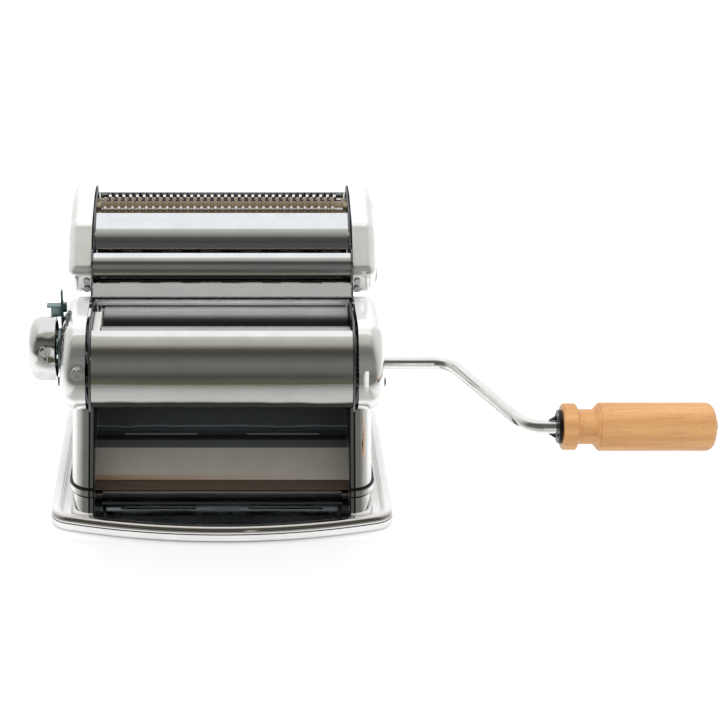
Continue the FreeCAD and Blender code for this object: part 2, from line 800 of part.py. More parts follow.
def build_roller_bushes():
    bushes = []
    for mirrored in (False, True):
        sleeve = rod(fixed_roller_y, roller_z, bush_radius, plate_inner_x, plate_outer_x + bush_flange)
        flange = rod(fixed_roller_y, roller_z, bush_flange_radius, plate_outer_x, plate_outer_x + bush_flange)
        bush = sleeve.fuse(flange)
        bush = bush.cut(rod(fixed_roller_y, roller_z, journal_radius + running_clearance,
                            plate_inner_x - 1, plate_outer_x + 3))
        bush = bush.removeSplitter()
        bushes.append(mirror_x(bush) if mirrored else bush)
    return Part.makeCompound(bushes)


# Drive pinion with the crank's socket, and its bush

def crank_bore(x0, x1, clearance):
    """The crank's end: round, with two flats on its inner stretch."""
    radius = crank_rod_radius + clearance
    flat = crank_flat_half + clearance
    round_end = rod(pinion_axis_y, pinion_axis_z, radius, crank_flat_end_x - clearance, x1)
    flat_end = rod(pinion_axis_y, pinion_axis_z, radius, x0, crank_flat_end_x)
    between = box(x0 - 1, crank_flat_end_x + 1, pinion_axis_y - flat, pinion_axis_y + flat,
                  pinion_axis_z - radius - 1, pinion_axis_z + radius + 1)
    return round_end.fuse(flat_end.common(between)).removeSplitter()


def build_pinion():
    pitch_radius = pinion_teeth * drive_module / 2
    toward = direction_degrees(pinion_axis_y, pinion_axis_z, fixed_roller_y, roller_z) + 180.0 / pinion_teeth
    teeth = gear(pinion_axis_y, pinion_axis_z, pinion_teeth, drive_module, pitch_radius + drive_module,
                 pinion_waist_radius - 0.1, drive_gear_x, drive_gear_x + drive_gear_width, toward)
    journal = rod(pinion_axis_y, pinion_axis_z, pinion_shaft_radius, plate_inner_x, plate_outer_x + bush_flange)
    waist = rod(pinion_axis_y, pinion_axis_z, pinion_waist_radius, plate_outer_x + bush_flange + 0.3,
                drive_gear_x + drive_gear_width)
    step = rod(pinion_axis_y, pinion_axis_z, pinion_shaft_radius, plate_outer_x, drive_gear_x)
    hub = rod(pinion_axis_y, pinion_axis_z, pinion_hub_radius, drive_gear_x + drive_gear_width,
              pinion_hub_end_x)
    pinion = journal.fuse([step, waist, teeth, hub])
    bore = crank_bore(crank_flat_start_x - crank_socket_clearance, pinion_hub_end_x + 1,
                      crank_socket_clearance)
    return pinion.cut(bore).removeSplitter()


def build_pinion_bush():
    return tube(pinion_axis_y, pinion_axis_z, pinion_bush_radius, pinion_shaft_radius + running_clearance,
                plate_inner_x, plate_outer_x + bush_flange)


# Bearing carriages that carry the front roller and slide in the side plates

def build_carriage():
    """The right carriage: a block in the plate's window and an arm outside the plate."""
    y = adjustable_roller_y
    block = box(plate_inner_x, plate_outer_x, y - carriage_half_y, y + carriage_half_y,
                roller_z - carriage_half_z, roller_z + carriage_half_z)
    arm_x = plate_outer_x + guide_clearance
    arm = box(arm_x, arm_x + carriage_arm_sheet, y - carriage_arm_half_y, y + carriage_arm_half_y,
              carriage_arm_bottom_z, roller_z + carriage_half_z)
    bridge = box(plate_outer_x, arm_x, y - carriage_arm_half_y, y + carriage_arm_half_y,
                 roller_z - carriage_half_z, roller_z + carriage_half_z)
    carriage = block.fuse([arm, bridge])
    carriage = carriage.cut(rod(y, roller_z, journal_radius + running_clearance, plate_inner_x - 1, arm_x + 3))
    carriage = carriage.cut(rod(y, link_z, link_radius + seat_clearance, plate_inner_x - 1, arm_x + 3))
    return carriage.removeSplitter()


def build_carriage_left():
    """The left carriage also holds the pin that follows the spiral groove."""
    carriage = mirror_x(build_carriage())
    arm_face = -(plate_outer_x + guide_clearance + carriage_arm_sheet)
    pin_y = cam_axis_y - cam_groove_radius
    ear = box(arm_face, arm_face + carriage_arm_sheet, pin_y - 2 * follower_radius,
              adjustable_roller_y, roller_z - 2 * follower_radius, roller_z + 2 * follower_radius)
    ear = ear.cut(rod(adjustable_roller_y, roller_z, journal_radius + running_clearance,
                      arm_face - 1, arm_face + 3))
    pin = rod(pin_y, roller_z, follower_radius, arm_face - follower_length, arm_face)
    return carriage.fuse([ear, pin]).removeSplitter()


def build_carriage_link():
    end_x = plate_outer_x + guide_clearance + carriage_arm_sheet
    return rod(adjustable_roller_y, link_z, link_radius, -end_x, end_x)


# Scrapers under the rollers and the white guard at their left end

def build_scraper(roller_y, front):
    """A thin blade from between the side plates up to the lower outside of a roller."""
    side = -1 if front else 1
    reach = roller_radius + scraper_gap + scraper_sheet / 2
    tip_y = roller_y + side * reach * math.cos(math.radians(scraper_angle))
    tip_z = roller_z - reach * math.sin(math.radians(scraper_angle))
    slope = math.radians(scraper_slope)
    heel_y = tip_y + side * scraper_length * math.cos(slope)
    heel_z = tip_z - scraper_length * math.sin(slope)
    path = [(tip_y, tip_z, 0), (heel_y, heel_z, 1.0), (heel_y + side * 1.5, heel_z - 3.0, 0)]
    return bent_sheet(path, scraper_sheet, plate_inner_x)


def build_dough_guard():
    outer_x = -plate_inner_x + guide_clearance
    guard = box(outer_x, outer_x + guard_width, guard_front_y, guard_back_y,
                guard_bottom_z, guard_top_z)
    upper = [e for e in guard.Edges if abs(e.BoundBox.ZMin - guard_top_z) < 1e-4]
    return guard.makeFillet(0.8, upper)


# Thickness regulator: cam, bracket, knob, spring and screw

def spiral_point(x, turn, offset):
    """A point of the groove's spiral after a turn in degrees, moved outwards by offset."""
    radius = cam_groove_radius - nip_travel * turn / cam_turn + offset
    angle = math.radians(180 - turn)
    return vec(x, cam_axis_y + radius * math.cos(angle), roller_z + radius * math.sin(angle))


def spiral_edges(x, offset):
    """The spiral as short arcs through points of its formula."""
    steps = 20
    first = -cam_spare_turn
    step = (cam_turn + 2 * cam_spare_turn) / steps
    edges = []
    for i in range(steps):
        start = first + i * step
        edges.append(Part.Arc(spiral_point(x, start, offset), spiral_point(x, start + step / 2, offset),
                              spiral_point(x, start + step, offset)).toShape())
    return edges


def build_cam():
    disc_end = cam_face_x - cam_thickness
    disc = rod(cam_axis_y, roller_z, cam_radius, disc_end, cam_face_x)
    half_width = follower_radius + cam_groove_clearance
    floor_x = cam_face_x - cam_groove_depth
    outer = spiral_edges(floor_x, half_width)
    inner = spiral_edges(floor_x, -half_width)
    caps = []
    for turn in (-cam_spare_turn, cam_turn + cam_spare_turn):
        caps.append(Part.LineSegment(spiral_point(floor_x, turn, half_width),
                                     spiral_point(floor_x, turn, -half_width)).toShape())
    groove = Part.Face(wire_of(outer + inner + caps)).extrude(vec(cam_groove_depth + 1, 0, 0))
    shaft = rod(cam_axis_y, roller_z, regulator_shaft_radius, regulator_shaft_end_x,
                cam_face_x - cam_groove_depth)
    return disc.cut(groove).fuse(shaft).removeSplitter()


def build_bracket():
    """Zinc plate outside the left casing: a bearing ring, an upright arm, a fin and a shelf."""
    x1 = -casing_outer_x
    x0 = x1 - bracket_sheet
    ring = rod(cam_axis_y, roller_z, bracket_ring_radius, x0, x1)
    sleeve = rod(cam_axis_y, roller_z, bush_radius, x0, x1 + casing_sheet + 1.0)
    arm = box(x0, x1, bracket_arm_front_y, bracket_arm_back_y, bracket_arm_bottom_z, bracket_arm_top_z)
    bridge = box(x0, x1, cam_axis_y, bracket_arm_back_y, roller_z - bracket_bridge_half_z,
                 roller_z + bracket_bridge_half_z)
    fin_mid_y = (bracket_arm_front_y + bracket_arm_back_y) / 2
    fin = box(x0, x1, fin_mid_y - 1.6, fin_mid_y + 1.6, bracket_arm_top_z - 1,
              bracket_arm_top_z + bracket_fin_height)
    shelf = box(x0 - bracket_shelf_length, x0 + 0.5, bracket_arm_front_y, bracket_arm_back_y - 2,
                bracket_shelf_z - 1.0, bracket_shelf_z)
    bracket = ring.fuse([sleeve, arm, bridge, fin, shelf])
    bore = rod(cam_axis_y, roller_z, regulator_shaft_radius + running_clearance, x0 - 1, x1 + 4)
    return bracket.cut(bore).removeSplitter()


def build_index_block():
    x1 = -casing_outer_x - bracket_sheet
    block = box(x1 - index_block_size, x1, bracket_arm_front_y + 0.6, bracket_arm_back_y - 0.6,
                index_block_z, index_block_z + index_block_size)
    return block.makeFillet(0.7, edges_near_x(block, x1 - index_block_size))


def build_bracket_nut():
    """The nut on the bracket's inner face, above the casing's rounded edge."""
    y = (bracket_arm_front_y + bracket_arm_back_y) / 2
    return hexagon_bar(y, bracket_nut_z, bracket_nut_radius, -casing_outer_x, -casing_outer_x + bracket_nut_length)


def build_knob():
    """A domed steel shell with a folded rim, carried by a hub on the regulator's shaft."""
    rim_x = knob_inner_x
    face_x = knob_inner_x - knob_depth
    shell = Part.makeCylinder(knob_radius, knob_depth, vec(face_x, cam_axis_y, roller_z), vec(1, 0, 0))
    shell = shell.makeFillet(knob_shoulder, edges_near_x(shell, face_x))
    inside = Part.makeCylinder(knob_radius - knob_sheet, knob_depth, vec(face_x + knob_sheet, cam_axis_y, roller_z),
                               vec(1, 0, 0))
    inside = inside.makeFillet(knob_shoulder - knob_sheet, edges_near_x(inside, face_x + knob_sheet))
    shell = shell.cut(inside)
    fold = tube(cam_axis_y, roller_z, knob_radius, knob_radius - knob_rim_fold, rim_x - 1.0, rim_x)
    hub = rod(cam_axis_y, roller_z, knob_hub_radius, face_x + 0.5 * knob_sheet, rim_x)
    bore = rod(cam_axis_y, roller_z, regulator_shaft_radius + running_clearance, face_x - 1, rim_x + 1)
    well = rod(cam_axis_y, roller_z, knob_well_radius, face_x - 1, knob_well_floor_x)
    return shell.fuse([fold, hub]).cut(bore).cut(well).removeSplitter()


def build_knob_screw():
    """A screw with a wide head in the end of the regulator's shaft, which holds the spring in the knob."""
    shaft_end = regulator_shaft_end_x
    head = rod(cam_axis_y, roller_z, knob_well_radius - 0.4, shaft_end - 1.6, shaft_end)
    slot = box(shaft_end - 2.6, shaft_end - 0.8, cam_axis_y - knob_well_radius, cam_axis_y + knob_well_radius,
               roller_z - 0.5, roller_z + 0.5)
    return head.cut(slot)


def build_knob_spring():
    """The spring between the knob's well floor and the head of its screw."""
    shaft_end = regulator_shaft_end_x
    free_length = knob_well_floor_x - shaft_end - knob_spring_wire - 2 * seat_clearance
    pitch = free_length / knob_spring_turns
    helix = Part.makeHelix(pitch, free_length, knob_spring_radius - knob_spring_wire / 2)
    circle = Part.Circle(vec(knob_spring_radius - knob_spring_wire / 2, 0, 0), vec(0, 1, 0),
                         knob_spring_wire / 2)
    spring = Part.Wire(helix.Edges).makePipeShell([Part.Wire(circle.toShape())], True, True)
    spring.rotate(vec(0, 0, 0), vec(0, 1, 0), 90)
    spring.translate(vec(shaft_end + knob_spring_wire / 2 + seat_clearance, cam_axis_y, roller_z))
    print("knob spring: least gap between turns", round(pitch - knob_spring_wire, 2))
    return spring


# Crank: bent rod, washer, wooden grip and end rivet

def build_crimp(z):
    """Two ears pinched out of the rod, widening towards the washer they hold."""
    side = crank_y - crimp_thickness / 2
    end_x = crimp_x + crimp_length
    corners = [vec(crimp_x, side, z - crimp_start_span / 2), vec(end_x, side, z - crimp_span / 2),
               vec(end_x, side, z + crimp_span / 2), vec(crimp_x, side, z + crimp_start_span / 2)]
    ears = Part.Face(Part.makePolygon(corners + [corners[0]])).extrude(vec(0, crimp_thickness, 0))
    return ears.makeFillet(0.6, [e for e in ears.Edges if e.BoundBox.YLength > 1])


def build_crank_rod():
    """One rod from the socket, out along X, forwards along the arm, and through the grip."""
    z = pinion_axis_z
    place = lambda x, y: vec(x, y, z)
    path = [(crank_flat_end_x, pinion_axis_y, 0), (crank_bend_x, pinion_axis_y, crank_bend),
            (crank_arm_end_x, crank_y, crank_bend), (grip_end_x, crank_y, 0)]
    spine = wire_of(rounded_edges(path, place, False))
    section = Part.Wire(Part.Circle(vec(crank_flat_end_x, pinion_axis_y, z), vec(1, 0, 0),
                                    crank_rod_radius).toShape())
    bar = spine.makePipeShell([section], True, True)
    end = rod(pinion_axis_y, z, crank_rod_radius, crank_flat_start_x, crank_flat_end_x)
    end = end.common(box(crank_flat_start_x, crank_flat_end_x, pinion_axis_y - crank_flat_half,
                         pinion_axis_y + crank_flat_half, z - 2 * crank_rod_radius, z + 2 * crank_rod_radius))
    crimp = build_crimp(z)
    return bar.fuse([end, crimp]).removeSplitter()


def build_washer():
    washer = rod(crank_y, pinion_axis_z, washer_radius, washer_x, washer_end_x)
    washer = washer.makeFillet(0.6, edges_near_x(washer, washer_x))
    return washer.cut(rod(crank_y, pinion_axis_z, crank_rod_radius + seat_clearance, washer_x - 1,
                          washer_end_x + 1))


def build_grip():
    """Turned wood: a collar, a waisted neck with a groove, and a long body with a round end."""
    x0 = grip_start_x
    collar_end = x0 + grip_collar_length
    neck_end = collar_end + grip_neck_length
    end_x = grip_end_x - grip_play
    axis_z = pinion_axis_z
    place = lambda x, radius: vec(x, crank_y, axis_z + radius)
    bore = crank_rod_radius + running_clearance
    corners = [(x0, bore, 0), (x0, grip_collar_radius, 1.6), (collar_end, grip_collar_radius, 1.6),
               (collar_end + 1.6, grip_neck_radius, 1.2), (neck_end - 2.4, grip_neck_radius, 2.0),
               (neck_end, grip_radius - 0.9, 1.0), (neck_end + 0.6, grip_radius - 0.9, 0),
               (neck_end + 0.9, grip_radius, 0.4),
               (end_x, grip_radius, grip_end_round), (end_x, bore, 0)]
    profile = Part.Face(wire_of(rounded_edges(corners, place, True)))
    return profile.revolve(vec(0, crank_y, axis_z), vec(1, 0, 0), 360)


def build_rivet():
    """The peened cap on the rod's end, let into the grip's end."""
    x0 = grip_end_x
    cap = rod(crank_y, pinion_axis_z, rivet_radius, x0, x0 + rivet_thickness)
    return cap.makeFillet(0.9, edges_near_x(cap, x0 + rivet_thickness))


# Cutter head: ring rollers, gears and bushes

def build_cutter(y, z, pitch, shifted, socket):
    """A shaft with evenly spaced rings. The shifted one of a pair has its rings over the other's grooves."""
    ring_width = pitch / 2 - ring_side_clearance
    start = -cutter_half_x + (pitch / 2 if shifted else 0)
    edge = min(0.25, ring_width / 6)
    end_x = head_casing_outer_x + cutter_hub_proud if socket else cutter_gear_x + cutter_gear_width
    profile = [(-head_plate_x - head_plate_sheet - 1.0, 0),
               (-head_plate_x - head_plate_sheet - 1.0, cutter_journal_radius),
               (-cutter_half_x - 1.5, cutter_journal_radius), (-cutter_half_x - 1.5, cutter_core_radius)]
    count = int((2 * cutter_half_x - start - cutter_half_x + ring_side_clearance) // pitch)
    for i in range(count + 1):
        x0 = start + i * pitch
        x1 = x0 + ring_width
        if x1 > cutter_half_x:
            break
        profile += [(x0, cutter_core_radius), (x0, cutter_ring_radius - edge), (x0 + edge, cutter_ring_radius),
                    (x1 - edge, cutter_ring_radius), (x1, cutter_ring_radius - edge), (x1, cutter_core_radius)]
    profile += [(cutter_half_x + 1.5, cutter_core_radius), (cutter_half_x + 1.5, cutter_journal_radius)]
    if socket:
        hub_x = cutter_gear_x + cutter_gear_width
        profile += [(hub_x, cutter_journal_radius), (hub_x, cutter_hub_radius), (end_x, cutter_hub_radius)]
    else:
        profile += [(end_x, cutter_journal_radius)]
    profile += [(end_x, 0)]
    shaft = turned(profile, y, z)
    if socket:
        shaft = shaft.cut(rod(y, z, socket_radius, end_x - socket_depth, end_x + 1))
    return shaft


def cutter_gear(y, z, other_y, other_z, is_first):
    """One gear of a pair. The first points a tooth at the other, which has a gap there."""
    toward = direction_degrees(y, z, other_y, other_z)
    if not is_first:
        toward += 180.0 / cutter_gear_teeth
    pitch_radius = cutter_gear_teeth * cutter_gear_module / 2
    blank = gear(y, z, cutter_gear_teeth, cutter_gear_module, pitch_radius + 0.9 * cutter_gear_module,
                 pitch_radius - 1.25 * cutter_gear_module, cutter_gear_x, cutter_gear_x + cutter_gear_width,
                 toward)
    return blank.cut(rod(y, z, cutter_journal_radius + seat_clearance, cutter_gear_x - 1,
                         cutter_gear_x + cutter_gear_width + 1))


def cutter_axes():
    return [(wide_front_y, wide_z), (wide_back_y, wide_z), (fine_front_y, fine_z), (fine_back_y, fine_back_z)]


def build_cutter_bushes():
    bushes = []
    inner_x = cutter_half_x + 1.5 + rotor_clearance
    outer_x = head_plate_x + head_plate_sheet
    for y, z in cutter_axes():
        sleeve = rod(y, z, cutter_bush_radius, head_plate_x - 2.0, outer_x)
        flange = rod(y, z, cutter_bush_flange, inner_x, head_plate_x)
        bush = sleeve.fuse(flange)
        bush = bush.cut(rod(y, z, cutter_journal_radius + running_clearance, inner_x - 1, outer_x + 1))
        bush = bush.removeSplitter()
        bushes.append(bush)
        bushes.append(mirror_x(bush))
    return Part.makeCompound(bushes)


# Cutter head: combs that lift the strands off the rings

def build_comb(y, z, pitch, shifted):
    """A bar with teeth that stand in the grooves under a ring roller."""
    ring_width = pitch / 2 - ring_side_clearance
    start = -cutter_half_x + (pitch / 2 if shifted else 0)
    half = head_plate_x
    tooth_top = z - cutter_core_radius - comb_core_clearance
    bar_top = z - cutter_ring_radius - comb_core_clearance
    bar_bottom = bar_top - comb_bar_height
    points = [(-half, bar_bottom), (-half, bar_top)]
    groove_start = start + ring_width - pitch
    while groove_start < cutter_half_x:
        tooth_start = max(groove_start, -cutter_half_x) + comb_tooth_clearance
        tooth_end = min(groove_start + pitch - ring_width, cutter_half_x) - comb_tooth_clearance
        if tooth_end - tooth_start > comb_sheet:
            points += [(tooth_start, bar_top), (tooth_start, tooth_top), (tooth_end, tooth_top),
                       (tooth_end, bar_top)]
        groove_start += pitch
    points += [(half, bar_top), (half, bar_bottom)]
    corners = [vec(x, y - comb_sheet / 2, height) for x, height in points]
    return Part.Face(Part.makePolygon(corners + [corners[0]])).extrude(vec(0, comb_sheet, 0))


# Cutter head: plates, tie rods, covers and casings

def head_tie_places():
    """One rod under the front plate and one inside the back cover."""
    front_tie = rod_behind_sheet(*head_front_low, *head_front_high, head_tie_radius, head_cover_sheet)
    return [front_tie, head_rear_tie]


def build_head_plate():
    """The right plate, with its pointed top corner and the leg that hooks over the machine's pin."""
    x1 = head_plate_x + head_plate_sheet
    corners = [(hook_leg_front_y, hook_leg_bottom_z, 1.5), (hook_leg_front_y, hook_leg_top_z, 4.0),
               *head_plate_front, *head_plate_back,
               (hook_leg_back_y, hook_leg_top_z, 3.0), (hook_leg_back_y, hook_leg_bottom_z, 1.5)]
    plate = slab(corners, head_plate_x, x1)
    for y, z in cutter_axes():
        plate = plate.cut(rod(y, z, cutter_bush_radius + seat_clearance, head_plate_x - 1, x1 + 1))
    for y, z in head_tie_places():
        plate = plate.cut(rod(y, z, head_tie_radius + seat_clearance, head_plate_x - 1, x1 + 1))
    plate = plate.cut(rod(head_post_y, head_post_z, head_post_radius + seat_clearance, head_plate_x - 1, x1 + 1))
    slot_radius = hook_pin_radius + guide_clearance
    plate = plate.cut(rod(hook_pin_y, hook_pin_z, slot_radius, head_plate_x - 1, x1 + 1))
    plate = plate.cut(box(head_plate_x - 1, x1 + 1, hook_pin_y - slot_radius, hook_pin_y + slot_radius,
                          hook_leg_bottom_z - 1, hook_pin_z))
    return plate.removeSplitter()


def build_hook_pins():
    """Headed pins on the machine's side plates that the cutter head's legs drop over."""
    face_x = plate_outer_x
    neck = rod(hook_pin_y, hook_pin_z, hook_pin_radius, face_x, head_plate_x + head_plate_sheet + 0.3)
    pin_head = rod(hook_pin_y, hook_pin_z, hook_pin_radius + 1.4, head_plate_x + head_plate_sheet + 0.3,
                   head_plate_x + head_plate_sheet + 1.4)
    pin = neck.fuse(pin_head).removeSplitter()
    return Part.makeCompound([pin, mirror_x(pin)])


def build_head_tie_rods():
    """Two rods between the plates, and a thicker one that reaches both casings and takes their screws."""
    end_x = head_plate_x + head_plate_sheet + head_tie_end
    rods = [rod(y, z, head_tie_radius, -end_x, end_x) for y, z in head_tie_places()]
    post_end_x = head_casing_outer_x - head_casing_sheet
    post = rod(head_post_y, head_post_z, head_post_radius, -post_end_x, post_end_x)
    hole_start_x = head_casing_outer_x - head_screw_length - 0.5
    hole = rod(head_post_y, head_post_z, screw_shank_radius + seat_clearance, hole_start_x, post_end_x + 1)
    rods.append(post.cut(hole).cut(mirror_x(hole)))
    return Part.makeCompound(rods)


def arc_cover(center, radius, low_angle, high_angle, low_lip, high_lip):
    """A cover bent round an arc between two angles above the horizontal, with a turned-in lip at each end."""
    middle_radius = radius - head_cover_sheet / 2
    place = side_view(-head_cover_half_x)
    ends = [arc_point(*center, middle_radius, angle, True) for angle in (low_angle, high_angle)]
    middle = arc_point(*center, middle_radius, (low_angle + high_angle) / 2, True)
    edges = [Part.Arc(place(*ends[0]), place(*middle), place(*ends[1])).toShape()]
    for (y, z), (lip_y, lip_z) in zip(ends, (low_lip, high_lip)):
        edges.append(Part.LineSegment(place(y, z), place(y + lip_y, z + lip_z)).toShape())
    return sheet(edges, head_cover_sheet, head_cover_half_x)


def build_lower_cover():
    return arc_cover(lower_cover_center, lower_cover_radius, -10.0, 70.0, (0.8, -1.4), (1.6, -2.0))


def build_middle_cover():
    """Nearly flat at the back, then over a shoulder and down to a rounded nose."""
    back_y, back_z = middle_cover_back
    front_y, front_z = middle_cover_front
    path = [(back_y + 1.2, back_z - 1.8, 0), (back_y, back_z, 0),
            (*middle_cover_shoulder, middle_cover_shoulder_bend), (*middle_cover_nose, middle_cover_nose_bend),
            (front_y, front_z, 0), (front_y + 1.0, front_z - 1.0, 0)]
    return bent_sheet(path, head_cover_sheet, head_cover_half_x)


def build_front_plate():
    (low_y, low_z), (high_y, high_z) = head_front_low, head_front_high
    return bent_sheet([(low_y - 0.2, low_z - 1.2, 0), (low_y, low_z, 0.6), (high_y, high_z, 0)],
                      head_cover_sheet, head_cover_half_x)


def build_baffle():
    """The sheet between the two pairs of cutters that keeps their strands apart."""
    return bent_sheet(head_baffle_path, head_cover_sheet, head_cover_half_x)


def build_back_cover():
    return bent_sheet(head_back_path, head_cover_sheet, head_cover_half_x)


def corner_screw_places():
    """Two places on the casing's low front face, with the face's outward direction."""
    (low_y, low_z), (high_y, high_z) = head_casing_front
    outward = vec(0, low_z - high_z, high_y - low_y).normalize()
    places = []
    for share in (0.24, 0.6):
        places.append((low_y + share * (high_y - low_y), low_z + share * (high_z - low_z), outward))
    return places


def head_casing_solid(inset, x0, x1, edge):
    front = [(*corner, bend) for corner, bend in zip(head_casing_front, head_casing_front_bends)]
    corners = front + list(head_casing_rest)
    wire = wire_of(rounded_edges(corners, side_view(x0), True))
    face = Part.Face(wire)
    if inset > 0:
        face = Part.Face(face.makeOffset2D(-inset).Wires[0])
    shape = face.extrude(vec(x1 - x0, 0, 0))
    return shape.makeFillet(edge, edges_near_x(shape, x1))


def build_head_casing():
    outer = head_casing_solid(0, head_casing_inner_x, head_casing_outer_x, head_casing_edge)
    inner = head_casing_solid(head_casing_sheet, head_casing_inner_x - 1,
                              head_casing_outer_x - head_casing_sheet, head_casing_edge - head_casing_sheet)
    casing = outer.cut(inner)
    casing = casing.cut(rod(head_post_y, head_post_z, screw_shank_radius + seat_clearance,
                            head_casing_outer_x - 3, head_casing_outer_x + 1))
    for y, z, outward in corner_screw_places():
        start = vec(corner_screw_x, y, z) + outward * 2
        casing = casing.cut(Part.makeCylinder(corner_screw_shank + seat_clearance, 6, start, -outward))
    return casing


def build_head_casing_right():
    casing = build_head_casing()
    for y, z in ((wide_front_y, wide_z), (fine_front_y, fine_z)):
        casing = casing.cut(rod(y, z, cutter_hub_radius + rotor_clearance, head_casing_outer_x - 3,
                                head_casing_outer_x + 1))
    return casing


def build_head_screws():
    """A screw in each casing's outer face, and two small ones in its low front face."""
    screws = [pan_screw(head_post_y, head_post_z, head_casing_outer_x, 1, head_screw_length)]
    for y, z, outward in corner_screw_places():
        seat = vec(corner_screw_x, y, z)
        screw_head = Part.makeCylinder(corner_screw_head, screw_head_height, seat, outward)
        shank = Part.makeCylinder(corner_screw_shank, head_casing_sheet + 0.4, seat, -outward)
        screws.append(screw_head.fuse(shank).removeSplitter())
    return Part.makeCompound(screws + [mirror_x(screw) for screw in screws])


parts["base_plate"] = build_base()
parts["rubber_feet"] = build_feet()
side_plate_right = build_side_plate()
parts["side_plate_right"] = side_plate_right
parts["side_plate_left"] = mirror_x(side_plate_right)
parts["tie_rods"] = build_tie_rods()
parts["tie_rod_nuts"] = build_tie_rod_nuts()
leg_panel_right = build_leg_panel()
parts["leg_panel_right"] = leg_panel_right
parts["leg_panel_left"] = mirror_x(leg_panel_right)
parts["casing_posts"] = build_casing_posts()
parts["casing_screws"] = build_casing_screws()
parts["casing_right"] = build_casing_right()
parts["casing_left"] = build_casing_left()
front_cover = build_front_cover()
parts["front_cover"] = front_cover
parts["rear_cover"] = mirror_y(front_cover)
parts["chute_plate"] = build_chute()
parts["hook_pins"] = build_hook_pins()
parts["fixed_roller"] = build_roller(fixed_roller_y, -plate_outer_x - bush_flange,
                                     drive_gear_x + drive_gear_width)
parts["fixed_roller_gear"] = roller_gear(fixed_roller_y, 180.0)
parts["drive_gear"] = build_drive_gear()
parts["adjustable_roller"] = build_roller(adjustable_roller_y, -plate_outer_x - carriage_arm_sheet - 0.6,
                                          roller_gear_x + roller_gear_width)
parts["adjustable_roller_gear"] = roller_gear(adjustable_roller_y, 180.0 / roller_gear_teeth)
parts["shaft_bushes"] = Part.makeCompound([build_roller_bushes(), build_pinion_bush()])
parts["drive_pinion"] = build_pinion()
parts["carriage_right"] = build_carriage()
parts["carriage_left"] = build_carriage_left()
parts["carriage_link"] = build_carriage_link()
parts["scraper_front"] = build_scraper(adjustable_roller_y, True)
parts["scraper_rear"] = build_scraper(fixed_roller_y, False)
parts["dough_guard"] = build_dough_guard()
parts["regulator_cam"] = build_cam()
parts["regulator_bracket"] = build_bracket()
parts["bracket_fittings"] = Part.makeCompound([build_index_block(), build_bracket_nut()])
parts["regulator_knob"] = build_knob()
parts["knob_screw"] = build_knob_screw()
parts["knob_spring"] = build_knob_spring()
parts["crank_rod"] = build_crank_rod()
parts["grip_washer"] = build_washer()
parts["wooden_grip"] = build_grip()
parts["grip_rivet"] = build_rivet()
parts["fine_cutter_front"] = build_cutter(fine_front_y, fine_z, fine_pitch, False, True)
parts["fine_cutter_back"] = build_cutter(fine_back_y, fine_back_z, fine_pitch, True, False)
parts["wide_cutter_front"] = build_cutter(wide_front_y, wide_z, wide_pitch, False, True)
parts["wide_cutter_back"] = build_cutter(wide_back_y, wide_z, wide_pitch, True, False)
parts["fine_gear_front"] = cutter_gear(fine_front_y, fine_z, fine_back_y, fine_back_z, True)
parts["fine_gear_back"] = cutter_gear(fine_back_y, fine_back_z, fine_front_y, fine_z, False)
parts["wide_gear_front"] = cutter_gear(wide_front_y, wide_z, wide_back_y, wide_z, True)
parts["wide_gear_back"] = cutter_gear(wide_back_y, wide_z, wide_front_y, wide_z, False)
parts["cutter_bushes"] = build_cutter_bushes()
parts["cutter_combs"] = Part.makeCompound([build_comb(fine_front_y, fine_z, fine_pitch, False),
                                           build_comb(fine_back_y, fine_back_z, fine_pitch, True),
                                           build_comb(wide_front_y, wide_z, wide_pitch, False),
                                           build_comb(wide_back_y, wide_z, wide_pitch, True)])
head_plate_right = build_head_plate()
parts["head_plate_right"] = head_plate_right
parts["head_plate_left"] = mirror_x(head_plate_right)
parts["head_tie_rods"] = build_head_tie_rods()
parts["head_lower_cover"] = build_lower_cover()
parts["head_middle_cover"] = build_middle_cover()
parts["head_front_plate"] = build_front_plate()
parts["head_baffle"] = build_baffle()
parts["head_back_cover"] = build_back_cover()
parts["head_casing_right"] = build_head_casing_right()
parts["head_casing_left"] = mirror_x(build_head_casing())
parts["head_screws"] = build_head_screws()

os.makedirs("parts", exist_ok=True)
print(len(parts), "parts")
for name, shape in parts.items():
    if not shape.isValid():
        print("INVALID", name)
    print(name, round(shape.Volume), len(shape.Solids))
    shape.exportStep("parts/" + name + ".step")
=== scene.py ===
import json
import math

import bpy
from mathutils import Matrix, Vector

# Looks for a hand-cranked pasta machine of polished sheet steel with a beech grip.
# Metres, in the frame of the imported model: X along the rollers, Y away from the front, Z up.

# Camera
camera_elevation = 25.0
camera_distance = 1.1
camera_aim = (0.0, -0.042, 0.097)
camera_lens = 92.25
camera_shift = 0.1917
camera_sensor = 36.0
camera_near = 0.05
camera_far = 50.0

# Studio
white = (1.0, 1.0, 1.0)
black = (0.0, 0.0, 0.0)
floor_size = 12.0
floor_colour = (0.90, 0.895, 0.885)
# Painted shade: the floor's grey in mirrors, in front of the machine
floor_shade_in_mirrors = (0.47, 0.465, 0.45)
floor_roughness = 0.08
floor_gloss = 0.5
# Painted light: the floor glows for the camera, faintly in front of the machine and more beside and behind
# it, where it washes out the machine's shadow
floor_glow = 0.04
floor_glow_aside = 0.5
lamp_place = (0.1, 0.1, 1.6)
lamp_size = 1.4
lamp_power = 9.0

# Where the floor turns from its look in front of the machine to its look beside and behind it
# The painted shade in mirrors gives way to white between these bounds
mirrored_aside = (0.20, 0.30)
mirrored_behind = (-0.16, -0.08)
# The painted glow for the camera rises between these bounds
glowing_aside = (0.095, 0.125)
glowing_behind = (-0.090, -0.060)

